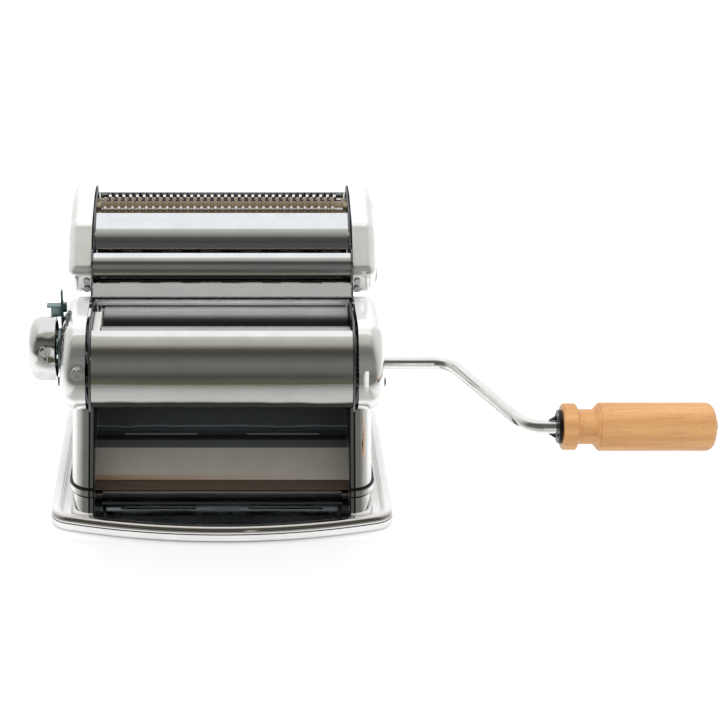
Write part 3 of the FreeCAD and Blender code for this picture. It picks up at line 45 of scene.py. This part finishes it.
# The room in front, by degrees above the horizon, up and over to the white behind
room_by_height = (
    (0, (0.10, 0.10, 0.065)), (5, (0.10, 0.10, 0.07)), (13, (0.06, 0.06, 0.055)),
    (24, (0.13, 0.13, 0.12)), (34, (0.15, 0.15, 0.14)), (44, (0.115, 0.11, 0.10)),
    (54, (0.055, 0.056, 0.050)), (61, (0.075, 0.072, 0.062)), (66, (0.20, 0.195, 0.17)),
    (71, (0.40, 0.39, 0.34)), (78, (0.46, 0.455, 0.41)), (86, (0.60, 0.59, 0.55)),
    (88, (0.95, 0.95, 0.95)), (180, white),
)

# The walls, by degrees round from straight in front to straight behind
walls_by_turn = (
    (0, (0.11, 0.11, 0.10)), (47, (0.12, 0.115, 0.105)), (64, (0.27, 0.265, 0.25)),
    (82, (0.54, 0.535, 0.52)), (106, (0.69, 0.685, 0.67)), (138, (0.83, 0.825, 0.81)),
    (165, white), (180, white),
)

# The walls take over from the room in front, by shares of half a turn and of the ray's length along X
walls_from_turn = (0.24, 0.34)
walls_from_side = (0.25, 0.5)

# A narrow bright strip, low and a little to the right, by the mirrored ray's share along X
window_strip = (
    (0.0, black), (0.09, black), (0.095, white), (0.125, white), (0.14, black), (1.0, black),
)

# The shares of half a turn between which the strip's top fades
window_top = (0.12, 0.14)

# Edges sharper than this angle stay crisp
crease_angle = 28.0

# Grains per metre: across and along the way a sheet was drawn, or along X, Y and Z
steel_fibres = (2600.0, 26.0)
steel_streaks = (620.0, 5.0)
steel_swell = (60.0, 14.0)
steel_cloud = (55.0, 55.0, 55.0)
bar_rings = (3000.0, 20.0, 20.0)
bar_cloud = (90.0, 90.0, 90.0)
bar_swell = (110.0, 110.0, 110.0)
wood_bands = (9.0, 170.0, 170.0)
wood_fibres = (60.0, 1900.0, 1900.0)
wood_flecks = (420.0, 2600.0, 2600.0)
moulded_cloud = (120.0, 120.0, 120.0)
moulded_peel = (1500.0, 1500.0, 1500.0)

# Heights of the raised patterns, in metres
grain_depth = 0.0000008
ring_depth = 0.000002
wood_depth = 0.00003
peel_depth = 0.00001

# Colours and reflection
polish = (0.97, 0.97, 0.965)
worn_polish = (0.86, 0.86, 0.85)
cool_polish = (0.92, 0.95, 0.97)
cool_worn = (0.80, 0.83, 0.86)
# Painted highlight: how metallic a surface stays where it is made paler to look lit
painted_highlight_metallic = 0.35
fibre_share = 0.5
# Painted reflection: a warm band along the foot of the chute's sloping face
chute_warm_reflection = (0.55, 0.27, 0.12)
chute_foot = (0.17, 0.125, 0.09)
# Painted shade on the chute outside its sloping face
chute_shade = (0.15, 0.165, 0.175)
# Painted shade on the base's floor between the legs
base_shade = (0.13, 0.145, 0.155)
# A painted grey strip within that shade, near the chute
base_painted_grey = (0.60, 0.60, 0.58)
# Painted glints along the chute's creases
crease_glint = (0.45, 0.55, 0.58)
# Painted glint along a fold in the base
fold_glint = (0.35, 0.42, 0.45)
# Painted grey between the painted shade lines on the legs' inner edge
edge_painted_grey = (0.45, 0.46, 0.46)
# Painted shade on the front bead, darker towards its lower side
bead_shading = ((0.0, (0.26, 0.24, 0.22)), (0.45, (0.46, 0.43, 0.40)), (1.0, (0.80, 0.78, 0.76)))
shade = (0.045, 0.045, 0.042)
beech_pale = (0.78, 0.42, 0.165)
beech_warm = (0.60, 0.28, 0.095)
beech_fibre = (0.42, 0.18, 0.06)
beech_fleck = (0.30, 0.14, 0.06)
varnish = 0.25
varnish_roughness = 0.25
plastic_light_depth = 0.001

# Dents, each with its centre, radius and depth
casing_dents = (((-0.0865, -0.0437, 0.0894), 0.006, 0.0012),)
knob_dents = (((-0.110, -0.030, 0.080), 0.007, 0.0015), ((-0.104, -0.034, 0.096), 0.008, 0.0015))

# Painted shade on a smooth roller: the share of its colour kept, by the degrees at which its surface faces up
# from the front
rear_roller_shading = (
    (0, 0.02), (44, 0.02), (51, 0.04), (59, 0.17), (69, 0.38), (82, 0.80), (95, 1.0), (180, 1.0),
)
front_roller_shading = ((0, 0.02), (60, 0.06), (80, 0.40), (95, 0.55), (180, 0.55))

# The crank's axis, and its flattened ears along X and away from the axis
crank_axis_z = 0.0743
crank_ears_x = (0.1880, 0.1944, 0.0002)
crank_ears_reach = (0.0040, 0.0044)

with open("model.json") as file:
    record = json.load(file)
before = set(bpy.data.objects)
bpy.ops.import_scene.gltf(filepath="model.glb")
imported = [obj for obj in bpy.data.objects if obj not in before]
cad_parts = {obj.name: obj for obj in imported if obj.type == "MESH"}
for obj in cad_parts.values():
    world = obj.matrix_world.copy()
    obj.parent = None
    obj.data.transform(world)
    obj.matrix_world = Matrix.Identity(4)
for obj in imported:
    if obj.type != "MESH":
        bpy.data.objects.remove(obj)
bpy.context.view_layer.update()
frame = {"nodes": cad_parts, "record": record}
nodes = frame["nodes"]
scene = bpy.context.scene
scene.view_settings.view_transform = "Standard"


def add_camera():
    """Looks at the machine's front from a little above, with more room on the crank's side of the picture."""
    data = bpy.data.cameras.new("camera")
    camera = bpy.data.objects.new("camera", data)
    scene.collection.objects.link(camera)
    tilt = math.radians(camera_elevation)
    back = Vector((0.0, -math.cos(tilt), math.sin(tilt)))
    camera.location = Vector(camera_aim) + back * camera_distance
    camera.rotation_euler = (math.radians(90.0 - camera_elevation), 0.0, 0.0)
    data.lens = camera_lens
    data.sensor_width = camera_sensor
    data.shift_x = camera_shift
    data.clip_start = camera_near
    data.clip_end = camera_far
    scene.camera = camera


# Node helpers

def new_material(name):
    """A material, its node tree and its shader."""
    material = bpy.data.materials.new(name)
    material.use_nodes = True
    tree = material.node_tree
    shader = tree.nodes["Principled BSDF"]
    return material, tree, shader


def add_node(tree, kind, **settings):
    node = tree.nodes.new(kind)
    for key, value in settings.items():
        setattr(node, key, value)
    return node


def object_point(tree, scale):
    """The place on the object in metres, stretched by scale, so that a pattern has a real size."""
    place = add_node(tree, "ShaderNodeTexCoord")
    mapping = add_node(tree, "ShaderNodeMapping")
    mapping.inputs["Scale"].default_value = scale
    tree.links.new(place.outputs["Object"], mapping.inputs["Vector"])
    return mapping.outputs["Vector"]


def split(tree, vector):
    """The X, Y and Z of a vector."""
    node = add_node(tree, "ShaderNodeSeparateXYZ")
    tree.links.new(vector, node.inputs[0])
    return node.outputs


def object_place(tree):
    """The place on the object in metres, as X, Y and Z."""
    return split(tree, add_node(tree, "ShaderNodeTexCoord").outputs["Object"])


def maths(tree, operation, first, second=0.0):
    """The result of a sum on numbers or on other nodes' values."""
    node = add_node(tree, "ShaderNodeMath", operation=operation)
    for socket, value in zip(node.inputs, (first, second)):
        if isinstance(value, float):
            socket.default_value = value
        else:
            tree.links.new(value, socket)
    return node.outputs[0]


def noise(tree, scale, detail=2.0, roughness=0.5):
    """Noise whose grains are about 1 / scale metres along each axis."""
    node = add_node(tree, "ShaderNodeTexNoise")
    node.inputs["Scale"].default_value = 1.0
    node.inputs["Detail"].default_value = detail
    node.inputs["Roughness"].default_value = roughness
    tree.links.new(object_point(tree, scale), node.inputs["Vector"])
    return node.outputs["Fac"]


def ranged(tree, value, low, high, from_low=0.3, from_high=0.7):
    """A value spread from its usual range to another, held at both ends."""
    node = add_node(tree, "ShaderNodeMapRange")
    node.inputs["From Min"].default_value = from_low
    node.inputs["From Max"].default_value = from_high
    node.inputs["To Min"].default_value = low
    node.inputs["To Max"].default_value = high
    tree.links.new(value, node.inputs["Value"])
    return node.outputs["Result"]


def above(tree, value, low, high):
    """0 below the first bound, rising to 1 at the second."""
    return ranged(tree, value, 0.0, 1.0, low, high)


def below(tree, value, low, high):
    """1 below the first bound, falling to 0 at the second."""
    return ranged(tree, value, 1.0, 0.0, low, high)


def mixed(tree, share, first, second, blend="MIX"):
    """Two colours mixed by a share from 0 to 1."""
    node = add_node(tree, "ShaderNodeMix", data_type="RGBA", blend_type=blend)
    if isinstance(share, float):
        node.inputs["Factor"].default_value = share
    else:
        tree.links.new(share, node.inputs["Factor"])
    for socket, colour in ((node.inputs["A"], first), (node.inputs["B"], second)):
        if isinstance(colour, tuple):
            socket.default_value = (*colour, 1.0)
        else:
            tree.links.new(colour, socket)
    return node.outputs["Result"]


def ramp(tree, value, stops):
    """A colour that follows a value from 0 to 1 through (place, colour) stops."""
    node = add_node(tree, "ShaderNodeValToRGB")
    elements = node.color_ramp.elements
    elements[0].position = stops[0][0]
    elements[0].color = (*stops[0][1], 1.0)
    elements[1].position = stops[-1][0]
    elements[1].color = (*stops[-1][1], 1.0)
    for place, colour in stops[1:-1]:
        elements.new(place).color = (*colour, 1.0)
    tree.links.new(value, node.inputs["Fac"])
    return node.outputs["Color"]


def within(tree, value, low, high, soft):
    """1 where a value lies between two bounds, falling to 0 over a soft edge outside each."""
    return all_of(tree, above(tree, value, low - soft, low), below(tree, value, high, high + soft))


def either(tree, first, second):
    """The larger of two shares."""
    return maths(tree, "MAXIMUM", first, second)


def all_of(tree, *shares):
    """The product of several shares."""
    product = shares[0]
    for share in shares[1:]:
        product = maths(tree, "MULTIPLY", product, share)
    return product


def unsigned(tree, value):
    """A value without its sign, such as a distance from the middle."""
    return maths(tree, "ABSOLUTE", value)


def waved(tree, value, scale, reach):
    """A place that wanders a little along X, for lines that aren't quite straight."""
    return maths(tree, "ADD", value, ranged(tree, noise(tree, (scale, 1.0, 1.0)), -reach, reach))


def facing(tree):
    """The way the surface faces, as X, Y and Z."""
    return split(tree, add_node(tree, "ShaderNodeNewGeometry").outputs["Normal"])


def bumped(tree, shader, height, distance, before=None):
    """Raises the surface by a height pattern, on top of an earlier bump."""
    node = add_node(tree, "ShaderNodeBump")
    node.inputs["Strength"].default_value = 1.0
    node.inputs["Distance"].default_value = distance
    tree.links.new(height, node.inputs["Height"])
    if before is not None:
        tree.links.new(before, node.inputs["Normal"])
    tree.links.new(node.outputs["Normal"], shader.inputs["Normal"])
    return node.outputs["Normal"]


# Materials

def dented(tree, shader, dents, before):
    """Shallow round hollows, each with its centre, radius and depth."""
    for centre, radius, depth in dents:
        place = add_node(tree, "ShaderNodeTexCoord")
        away = add_node(tree, "ShaderNodeVectorMath", operation="DISTANCE")
        tree.links.new(place.outputs["Object"], away.inputs[0])
        away.inputs[1].default_value = centre
        hollow = add_node(tree, "ShaderNodeMapRange", interpolation_type="SMOOTHSTEP")
        hollow.inputs["From Max"].default_value = radius
        tree.links.new(away.outputs["Value"], hollow.inputs["Value"])
        before = bumped(tree, shader, hollow.outputs["Result"], depth, before)
    return before


def drawn(along, scales):
    """Noise scales for marks drawn out along one axis, from one scale across it and one along it."""
    return tuple(scales[1] if axis == along else scales[0] for axis in "XYZ")


def steel(name, light, dark, smooth, rough, along, wave, streak=0.5, metallic=1.0, tint=None, dents=(),
          painted_highlight_on=None, grain=1.0):
    """Metal sheet or bar: drawn streaks, cloudy wear in its gloss, and a faint wave in its surface.
    Where the highlight mask says so, it is made less metallic, a painted highlight that shows the metal
    paler."""
    material, tree, shader = new_material(name)
    shader.inputs["Metallic"].default_value = metallic
    # Painted highlight: less metallic, so paler, where the mask says
    if painted_highlight_on is not None:
        highlit = ranged(tree, painted_highlight_on(tree), metallic, painted_highlight_metallic, 0.0, 1.0)
        tree.links.new(highlit, shader.inputs["Metallic"])
    fibres = noise(tree, drawn(along, steel_fibres), 3.0)
    streaks = noise(tree, drawn(along, steel_streaks), 2.0)
    cloud = noise(tree, steel_cloud, 4.0, 0.6)
    worn = mixed(tree, ranged(tree, cloud, 0.0, 1.0), light, dark)
    colour = mixed(tree, ranged(tree, streaks, 0.0, streak, 0.4, 0.75), worn, dark)
    if tint is not None:
        colour = tint(tree, colour)
    tree.links.new(colour, shader.inputs["Base Color"])
    both = add_node(tree, "ShaderNodeMath", operation="MULTIPLY_ADD")
    tree.links.new(fibres, both.inputs[0])
    both.inputs[1].default_value = fibre_share
    tree.links.new(cloud, both.inputs[2])
    tree.links.new(ranged(tree, both.outputs[0], smooth, rough, 0.5, 1.0), shader.inputs["Roughness"])
    swell = noise(tree, drawn(along, steel_swell), 1.0)
    shaped = dented(tree, shader, dents, bumped(tree, shader, swell, wave))
    bumped(tree, shader, fibres, grain_depth * grain, shaped)
    return material


def chute_tint(tree, colour):
    """The sloping face is beige, with a painted warm reflection along its foot, most on the left. The rest
    carries painted shade. Painted shade lines run along the foot's crease and across the slots, and painted
    glints along the two creases of the rise.
    """
    warm_rise = (0.0095, 0.0118)
    warm_reach = (-0.07, 0.05)
    warm_share = (0.75, 0.05)
    face_back = (-0.0115, -0.0108)
    face_top = (0.0235, 0.0240)
    foot_edge = (-0.0290, -0.0286)
    foot_shade_line = (-0.0292, -0.0288, 0.0002)
    slot_shade_line = (-0.0110, -0.0052, 0.0006)
    first_crease = (0.0016, 0.0018, 0.0003)
    second_crease = (0.0046, 0.0049, 0.0003)
    x, y, z = object_place(tree)
    # Painted warm reflection along the foot, most on the left
    warm_band = all_of(tree, below(tree, z, *warm_rise), ranged(tree, x, *warm_share, *warm_reach))
    face = mixed(tree, warm_band, colour, chute_warm_reflection)
    # Painted shade outside the sloping face
    in_front = all_of(tree, below(tree, y, *face_back), below(tree, z, *face_top))
    tinted = mixed(tree, in_front, chute_shade, face)
    tinted = mixed(tree, below(tree, y, *foot_edge), tinted, chute_foot)
    # Painted shade lines at the foot's crease and across the slots
    tinted = mixed(tree, within(tree, y, *foot_shade_line), tinted, shade)
    tinted = mixed(tree, within(tree, y, *slot_shade_line), tinted, shade)
    # Painted glints along the two creases
    wavy = waved(tree, y, 40.0, 0.0006)
    creases = either(tree, within(tree, wavy, *first_crease), within(tree, wavy, *second_crease))
    return mixed(tree, creases, tinted, crease_glint)


def base_tint(tree, colour):
    """Painted shade on the floor between the legs, with a painted grey strip near the chute and a painted
    glint along a fold. The front bead carries painted shade, darker towards its lower side, and a painted
    shade line along its groove.
    """
    leg_line = (0.0770, 0.0782)
    floor_top = (0.0078, 0.0082)
    flat = (0.8, 0.9)
    grey_strip = (-0.0490, -0.0400, 0.0008)
    fold_line = (-0.0590, -0.0588, 0.0003)
    bead_back = (-0.072, -0.066)
    bead_foot = (0.0062, 0.0066)
    bead_rise = (0.0066, 0.0096)
    groove = (0.0050, 0.0056, 0.0002)
    x, y, z = object_place(tree)
    level = above(tree, facing(tree)[2], *flat)
    inside = all_of(tree, below(tree, unsigned(tree, x), *leg_line), below(tree, z, *floor_top), level)
    # Painted shade between the legs, with a painted grey strip and a painted glint along a fold
    shaded_ground = mixed(tree, within(tree, y, *grey_strip), base_shade, base_painted_grey)
    wavy = waved(tree, y, 30.0, 0.0005)
    shaded_ground = mixed(tree, within(tree, wavy, *fold_line), shaded_ground, fold_glint)
    # Painted shade on the front bead, darker towards its lower side, and a painted shade line along its
    # groove
    front = all_of(tree, below(tree, y, *bead_back), above(tree, z, *bead_foot))
    bead_shade = ramp(tree, above(tree, z, *bead_rise), bead_shading)
    tinted = mixed(tree, front, colour, bead_shade)
    tinted = mixed(tree, within(tree, z, *groove), tinted, shade)
    return mixed(tree, inside, tinted, shaded_ground)


def leg_tint(tree, colour):
    """Painted shade lines along the ridge and down the inner edge, and a painted grey between the edge's two
    lines.
    """
    ridge_foot = (0.0146, 0.0158, 0.0002)
    ridge_top = (0.0188, 0.0198, 0.0002)
    inner_line = (0.0750, 0.0779, 0.0003)
    grey_line = (0.0780, 0.0800, 0.0004)
    outer_line = (0.0800, 0.0807, 0.0004)
    x, y, z = object_place(tree)
    side = unsigned(tree, x)
    # Painted shade lines along the ridge and down the inner edge, with painted grey between
    ridge = either(tree, within(tree, z, *ridge_foot), within(tree, z, *ridge_top))
    edge = either(tree, within(tree, side, *inner_line), within(tree, side, *outer_line))
    grey = mixed(tree, within(tree, side, *grey_line), colour, edge_painted_grey)
    return mixed(tree, either(tree, ridge, edge), grey, shade)


def shaded_below(height, soft, roll=0.0):
    """A tint that goes dark below a height, along a line that rolls a little."""
    def tint(tree, colour):
        rolling = waved(tree, object_place(tree)[2], 25.0, roll)
        return mixed(tree, below(tree, rolling, height - soft, height), colour, shade)
    return tint


def upward(tree):
    """1 where the surface faces up, where the casings get their painted highlight."""
    flat = (0.86, 0.97)
    return above(tree, facing(tree)[2], *flat)


def beside_legs(tree):
    """1 on the base's top outside the legs, where it gets a painted highlight."""
    flat = (0.5, 0.8)
    leg_line = (0.078, 0.080)
    bead_back = (-0.078, -0.070)
    x, y, z = object_place(tree)
    level = above(tree, facing(tree)[2], *flat)
    return all_of(tree, level, above(tree, unsigned(tree, x), *leg_line), above(tree, y, *bead_back))


def cover_lip(tree):
    """1 on the rear cover's lip above the roller, where it gets a painted highlight."""
    lip_foot = (0.1042, 0.1046)
    lip_back = (0.0246, 0.0252)
    x, y, z = object_place(tree)
    return all_of(tree, above(tree, z, *lip_foot), below(tree, y, *lip_back))


def shaded_by_slope(stops):
    """Painted shade and light by the way the surface faces in the side view: 0 degrees is the front, 90 is
    up.
    """
    def tint(tree, colour):
        x, y, z = facing(tree)
        angle = maths(tree, "ARCTAN2", z, maths(tree, "MULTIPLY", y, -1.0))
        share = above(tree, angle, 0.0, math.pi)
        # Painted shade: the share of colour kept, by the way the surface faces
        slope_shading = ramp(tree, share, [(degrees / 180, (level, level, level)) for degrees, level in stops])
        return mixed(tree, 1.0, colour, slope_shading, "MULTIPLY")
    return tint


def lit_blades(low, high, glint):
    """A tint for cutter blades: a painted highlight, a bright band on the front, between two rises of the
    surface's direction.
    """
    sideways = (0.1, 0.2)
    forward = (-0.1, 0.0)
    soft = 0.02

    def tint(tree, colour):
        x, y, z = facing(tree)
        round_x = below(tree, unsigned(tree, x), *sideways)
        share = all_of(tree, within(tree, z, low, high, soft), below(tree, y, *forward), round_x)
        return mixed(tree, share, colour, glint)
    return tint


def crimped(tree, colour):
    """The crank's flattened ears beside the washer are dark."""
    x, y, z = object_place(tree)
    off_axis = unsigned(tree, maths(tree, "SUBTRACT", z, crank_axis_z))
    ears = all_of(tree, within(tree, x, *crank_ears_x), above(tree, off_axis, *crank_ears_reach))
    return mixed(tree, ears, colour, shade)


def turned_metal(name, light, dark, smooth, rough, metallic=1.0, tint=None, wave=0.0, dents=()):
    """A bar or ring cut on a lathe: fine rings round X, and for a beaten piece a wave and dents."""
    material, tree, shader = new_material(name)
    shader.inputs["Metallic"].default_value = metallic
    rings = noise(tree, bar_rings, 2.0)
    cloud = noise(tree, bar_cloud, 4.0, 0.6)
    colour = mixed(tree, ranged(tree, cloud, 0.0, 1.0), light, dark)
    if tint is not None:
        colour = tint(tree, colour)
    tree.links.new(colour, shader.inputs["Base Color"])
    tree.links.new(ranged(tree, cloud, smooth, rough), shader.inputs["Roughness"])
    swell = noise(tree, bar_swell, 1.0)
    shaped = dented(tree, shader, dents, bumped(tree, shader, swell, wave))
    bumped(tree, shader, rings, ring_depth, shaped)
    return material


def beech():
    """Beech along X: broad growth bands, fine fibres and short dark flecks under a satin varnish."""
    material, tree, shader = new_material("beech")
    bands = noise(tree, wood_bands, 3.0, 0.55)
    fibres = noise(tree, wood_fibres, 3.0)
    flecks = noise(tree, wood_flecks, 1.0)
    banded = mixed(tree, above(tree, bands, 0.35, 0.7), beech_pale, beech_warm)
    darker = mixed(tree, ranged(tree, fibres, 0.0, 0.35, 0.4, 0.7), banded, beech_fibre)
    spotted = mixed(tree, ranged(tree, flecks, 0.0, 0.75, 0.66, 0.74), darker, beech_fleck)
    tree.links.new(spotted, shader.inputs["Base Color"])
    tree.links.new(ranged(tree, fibres, 0.34, 0.5), shader.inputs["Roughness"])
    shader.inputs["Coat Weight"].default_value = varnish
    shader.inputs["Coat Roughness"].default_value = varnish_roughness
    bumped(tree, shader, fibres, wood_depth)
    return material


def moulded(name, light, dark, smooth, rough, subsurface=0.0):
    """Plastic or rubber with a faint orange-peel surface."""
    material, tree, shader = new_material(name)
    cloud = noise(tree, moulded_cloud, 3.0)
    peel = noise(tree, moulded_peel, 2.0)
    tree.links.new(mixed(tree, ranged(tree, cloud, 0.0, 1.0), light, dark), shader.inputs["Base Color"])
    tree.links.new(ranged(tree, cloud, smooth, rough), shader.inputs["Roughness"])
    shader.inputs["Subsurface Weight"].default_value = subsurface
    shader.inputs["Subsurface Scale"].default_value = plastic_light_depth
    bumped(tree, shader, peel, peel_depth)
    return material


def dress(material, *names):
    for name in names:
        mesh = nodes[name].data
        mesh.materials.clear()
        mesh.materials.append(material)


def smooth_curves(angle):
    """Curved faces shade as one surface, and edges sharper than the angle stay crisp."""
    for node in nodes.values():
        node.data.shade_smooth()
        node.data.set_sharp_from_angle(angle=math.radians(angle))


# Studio: pale floor, white backdrop, dim room on the camera's side

def add_floor():
    """A glossy pale floor. In mirrors it carries a painted shade, grey in front of the machine, and is white
    beside and behind it. For the camera it has a painted glow, faint in front of the machine and stronger
    beside and behind it.
    """
    half = floor_size / 2
    mesh = bpy.data.meshes.new("floor")
    corners = [(-half, -half, 0), (half, -half, 0), (half, half, 0), (-half, half, 0)]
    mesh.from_pydata(corners, [], [(0, 1, 2, 3)])
    floor = bpy.data.objects.new("floor", mesh)
    scene.collection.objects.link(floor)
    material, tree, shader = new_material("floor")
    rays = add_node(tree, "ShaderNodeLightPath")
    x, y, z = object_place(tree)
    side = unsigned(tree, x)
    # Painted shade: in mirrors the floor is grey in front of the machine and white beside and behind it
    elsewhere = either(tree, above(tree, side, *mirrored_aside), above(tree, y, *mirrored_behind))
    mirrored = mixed(tree, elsewhere, floor_shade_in_mirrors, white)
    colour = mixed(tree, rays.outputs["Is Glossy Ray"], floor_colour, mirrored)
    tree.links.new(colour, shader.inputs["Base Color"])
    # Painted light: the floor glows for the camera only, more beside and behind the machine, so the machine's
    # shadow fades there
    away = either(tree, above(tree, side, *glowing_aside), above(tree, y, *glowing_behind))
    camera_glow = ranged(tree, away, floor_glow, floor_glow_aside, 0.0, 1.0)
    tree.links.new(all_of(tree, rays.outputs["Is Camera Ray"], camera_glow), shader.inputs["Emission Strength"])
    shader.inputs["Emission Color"].default_value = (*white, 1.0)
    shader.inputs["Roughness"].default_value = floor_roughness
    shader.inputs["Specular IOR Level"].default_value = floor_gloss
    mesh.materials.append(material)


def add_room():
    """The world: white behind and above, and for mirror rays a dim room on the camera's side."""
    world = bpy.data.worlds.new("room")
    world.use_nodes = True
    scene.world = world
    tree = world.node_tree
    background = tree.nodes["Background"]
    x, y, z = split(tree, add_node(tree, "ShaderNodeTexCoord").outputs["Generated"])
    forward = maths(tree, "MULTIPLY", y, -1.0)
    share = above(tree, maths(tree, "ARCTAN2", z, forward), 0.0, math.pi)
    front = ramp(tree, share, [(degrees / 180, colour) for degrees, colour in room_by_height])
    sideways = unsigned(tree, x)
    turn = above(tree, maths(tree, "ARCTAN2", sideways, forward), 0.0, math.pi)
    walls = ramp(tree, turn, [(degrees / 180, colour) for degrees, colour in walls_by_turn])
    toward_walls = all_of(tree, above(tree, turn, *walls_from_turn), above(tree, sideways, *walls_from_side))
    room = mixed(tree, toward_walls, front, walls)
    strip = ramp(tree, above(tree, x, 0.0, 1.0), window_strip)
    window = all_of(tree, strip, below(tree, share, *window_top))
    room = mixed(tree, window, room, white)
    rays = add_node(tree, "ShaderNodeLightPath")
    tree.links.new(mixed(tree, rays.outputs["Is Glossy Ray"], white, room), background.inputs["Color"])
    background.inputs["Strength"].default_value = 1.0


def add_lamp():
    data = bpy.data.lights.new("softbox", "AREA")
    data.energy = lamp_power
    data.size = lamp_size
    lamp = bpy.data.objects.new("softbox", data)
    lamp.location = lamp_place
    lamp.visible_glossy = False
    scene.collection.objects.link(lamp)


add_camera()
add_floor()
add_room()
add_lamp()
smooth_curves(crease_angle)

mirror = dict(light=polish, dark=worn_polish, smooth=0.03, rough=0.10, along="X", wave=0.00005)
cool_mirror = dict(mirror, light=cool_polish, dark=cool_worn)
# Pressed casings get a painted highlight on their tops
pressed = dict(light=polish, dark=worn_polish, along="Z", wave=0.0004, painted_highlight_on=upward)
bright = steel("polished_steel", **mirror)
# The base's top outside the legs and the rear cover's lip get a painted highlight
base = steel("base_steel", tint=base_tint, painted_highlight_on=beside_legs, **mirror)
rear_steel = steel("rear_cover_steel", painted_highlight_on=cover_lip, **mirror)
front_steel = steel("front_cover_steel", tint=shaded_below(0.0712, 0.0016, 0.0006), **mirror)
head_steel = steel("head_steel", **cool_mirror)
lower_steel = steel("lower_cover_steel", tint=shaded_below(0.1250, 0.0012), **cool_mirror)
casing = steel("casing_steel", smooth=0.03, rough=0.09, dents=casing_dents, metallic=0.9, **pressed)
head_casing = steel("head_casing_steel", smooth=0.06, rough=0.16, metallic=0.8, **pressed)
leg = steel("leg_steel", polish, worn_polish, 0.03, 0.09, "Z", 0.00025, tint=leg_tint)
satin = steel("satin_steel", (0.62, 0.62, 0.61), (0.50, 0.50, 0.49), 0.16, 0.30, "X", 0.00004)
inner = steel("inner_steel", (0.26, 0.27, 0.28), (0.18, 0.19, 0.20), 0.20, 0.34, "Z", 0.00004)
plate = steel("head_plate_steel", (0.80, 0.82, 0.84), (0.70, 0.72, 0.74), 0.20, 0.32, "X", 0.00004,
              tint=shaded_below(0.1136, 0.0003))
chute = steel("chute_steel", (0.82, 0.77, 0.69), (0.74, 0.69, 0.61), 0.30, 0.31, "X", 0.00004,
              streak=0.25, metallic=0.6, tint=chute_tint, grain=0.1)
screws = turned_metal("screw_steel", (0.60, 0.60, 0.60), (0.45, 0.45, 0.45), 0.18, 0.32)
ground_bar = dict(light=(0.95, 0.95, 0.95), dark=(0.84, 0.84, 0.84), smooth=0.14, rough=0.22)
# Painted shade on the rollers by the way they face; the front roller is a darker shaded copy
rollers = turned_metal("rear_roller_aluminium", metallic=0.35, tint=shaded_by_slope(rear_roller_shading), **ground_bar)
front_roller = turned_metal("front_roller_aluminium", metallic=0.5, tint=shaded_by_slope(front_roller_shading),
                            **ground_bar)
cutters = turned_metal("cutter_steel", (0.42, 0.36, 0.27), (0.30, 0.25, 0.18), 0.14, 0.26)
# Painted highlight on the front cutter's blades
front_blades = turned_metal("front_cutter_steel", (0.24, 0.185, 0.12), (0.17, 0.13, 0.08), 0.2, 0.3, 0.35,
                            tint=lit_blades(0.50, 0.63, (0.95, 0.93, 0.88)))
# Painted shade: the back cutter is a near-black copy of the cutter steel, dark because it sits in shade, with
# a painted highlight on its blades
shaded_back_blades = turned_metal("back_cutter_shaded_steel", (0.03, 0.028, 0.025), (0.02, 0.018, 0.016), 0.5, 0.6, 0.0,
                           tint=lit_blades(0.91, 0.97, (0.85, 0.83, 0.78)))
gears = turned_metal("gear_steel", (0.45, 0.45, 0.45), (0.30, 0.30, 0.30), 0.20, 0.38)
brass = turned_metal("bush_brass", (0.40, 0.34, 0.25), (0.30, 0.25, 0.18), 0.16, 0.30)
zinc = steel("zinc_plate", (0.30, 0.38, 0.39), (0.18, 0.25, 0.27), 0.22, 0.38, "Z", 0.00004)
knob = turned_metal("knob_chrome", (0.82, 0.82, 0.81), (0.74, 0.74, 0.73), 0.05, 0.10, wave=0.0008,
                    dents=knob_dents)
crank = turned_metal("crank_chrome", (0.92, 0.92, 0.91), (0.84, 0.84, 0.83), 0.06, 0.12, tint=crimped)
dark_steel = turned_metal("dark_steel", (0.06, 0.058, 0.055), (0.03, 0.03, 0.03), 0.25, 0.4)
nylon = moulded("nylon", (0.88, 0.88, 0.86), (0.80, 0.80, 0.77), 0.32, 0.45, 0.1)
rubber = moulded("rubber", (0.05, 0.05, 0.05), (0.03, 0.03, 0.03), 0.6, 0.8)
wood = beech()

slots = {
    "bright_steel": bright,
    "satin_steel": satin,
    "screw_steel": screws,
    "roller_aluminium": rollers,
    "cutter_steel": cutters,
    "gear_steel": gears,
    "bush_brass": brass,
    "zinc": zinc,
    "knob_chrome": knob,
    "crank_chrome": crank,
    "guard_plastic": nylon,
    "foot_rubber": rubber,
    "grip_wood": wood,
}
for part in frame["record"]["subparts"]:
    dress(slots[part["material_slot"]], part["node"])
dress(base, "base_plate")
dress(front_steel, "front_cover")
dress(rear_steel, "rear_cover")
dress(head_steel, "head_middle_cover", "head_back_cover")
dress(lower_steel, "head_lower_cover")
dress(casing, "casing_right", "casing_left")
dress(head_casing, "head_casing_right", "head_casing_left")
dress(leg, "leg_panel_right", "leg_panel_left")
dress(inner, "side_plate_right", "side_plate_left", "carriage_right", "carriage_left", "carriage_link",
      "scraper_front", "scraper_rear", "head_baffle", "head_plate_right", "head_plate_left", "casing_posts")
dress(plate, "head_front_plate")
dress(chute, "chute_plate")
dress(dark_steel, "grip_washer")
dress(front_roller, "adjustable_roller")
dress(front_blades, "fine_cutter_front")
dress(shaded_back_blades, "fine_cutter_back")
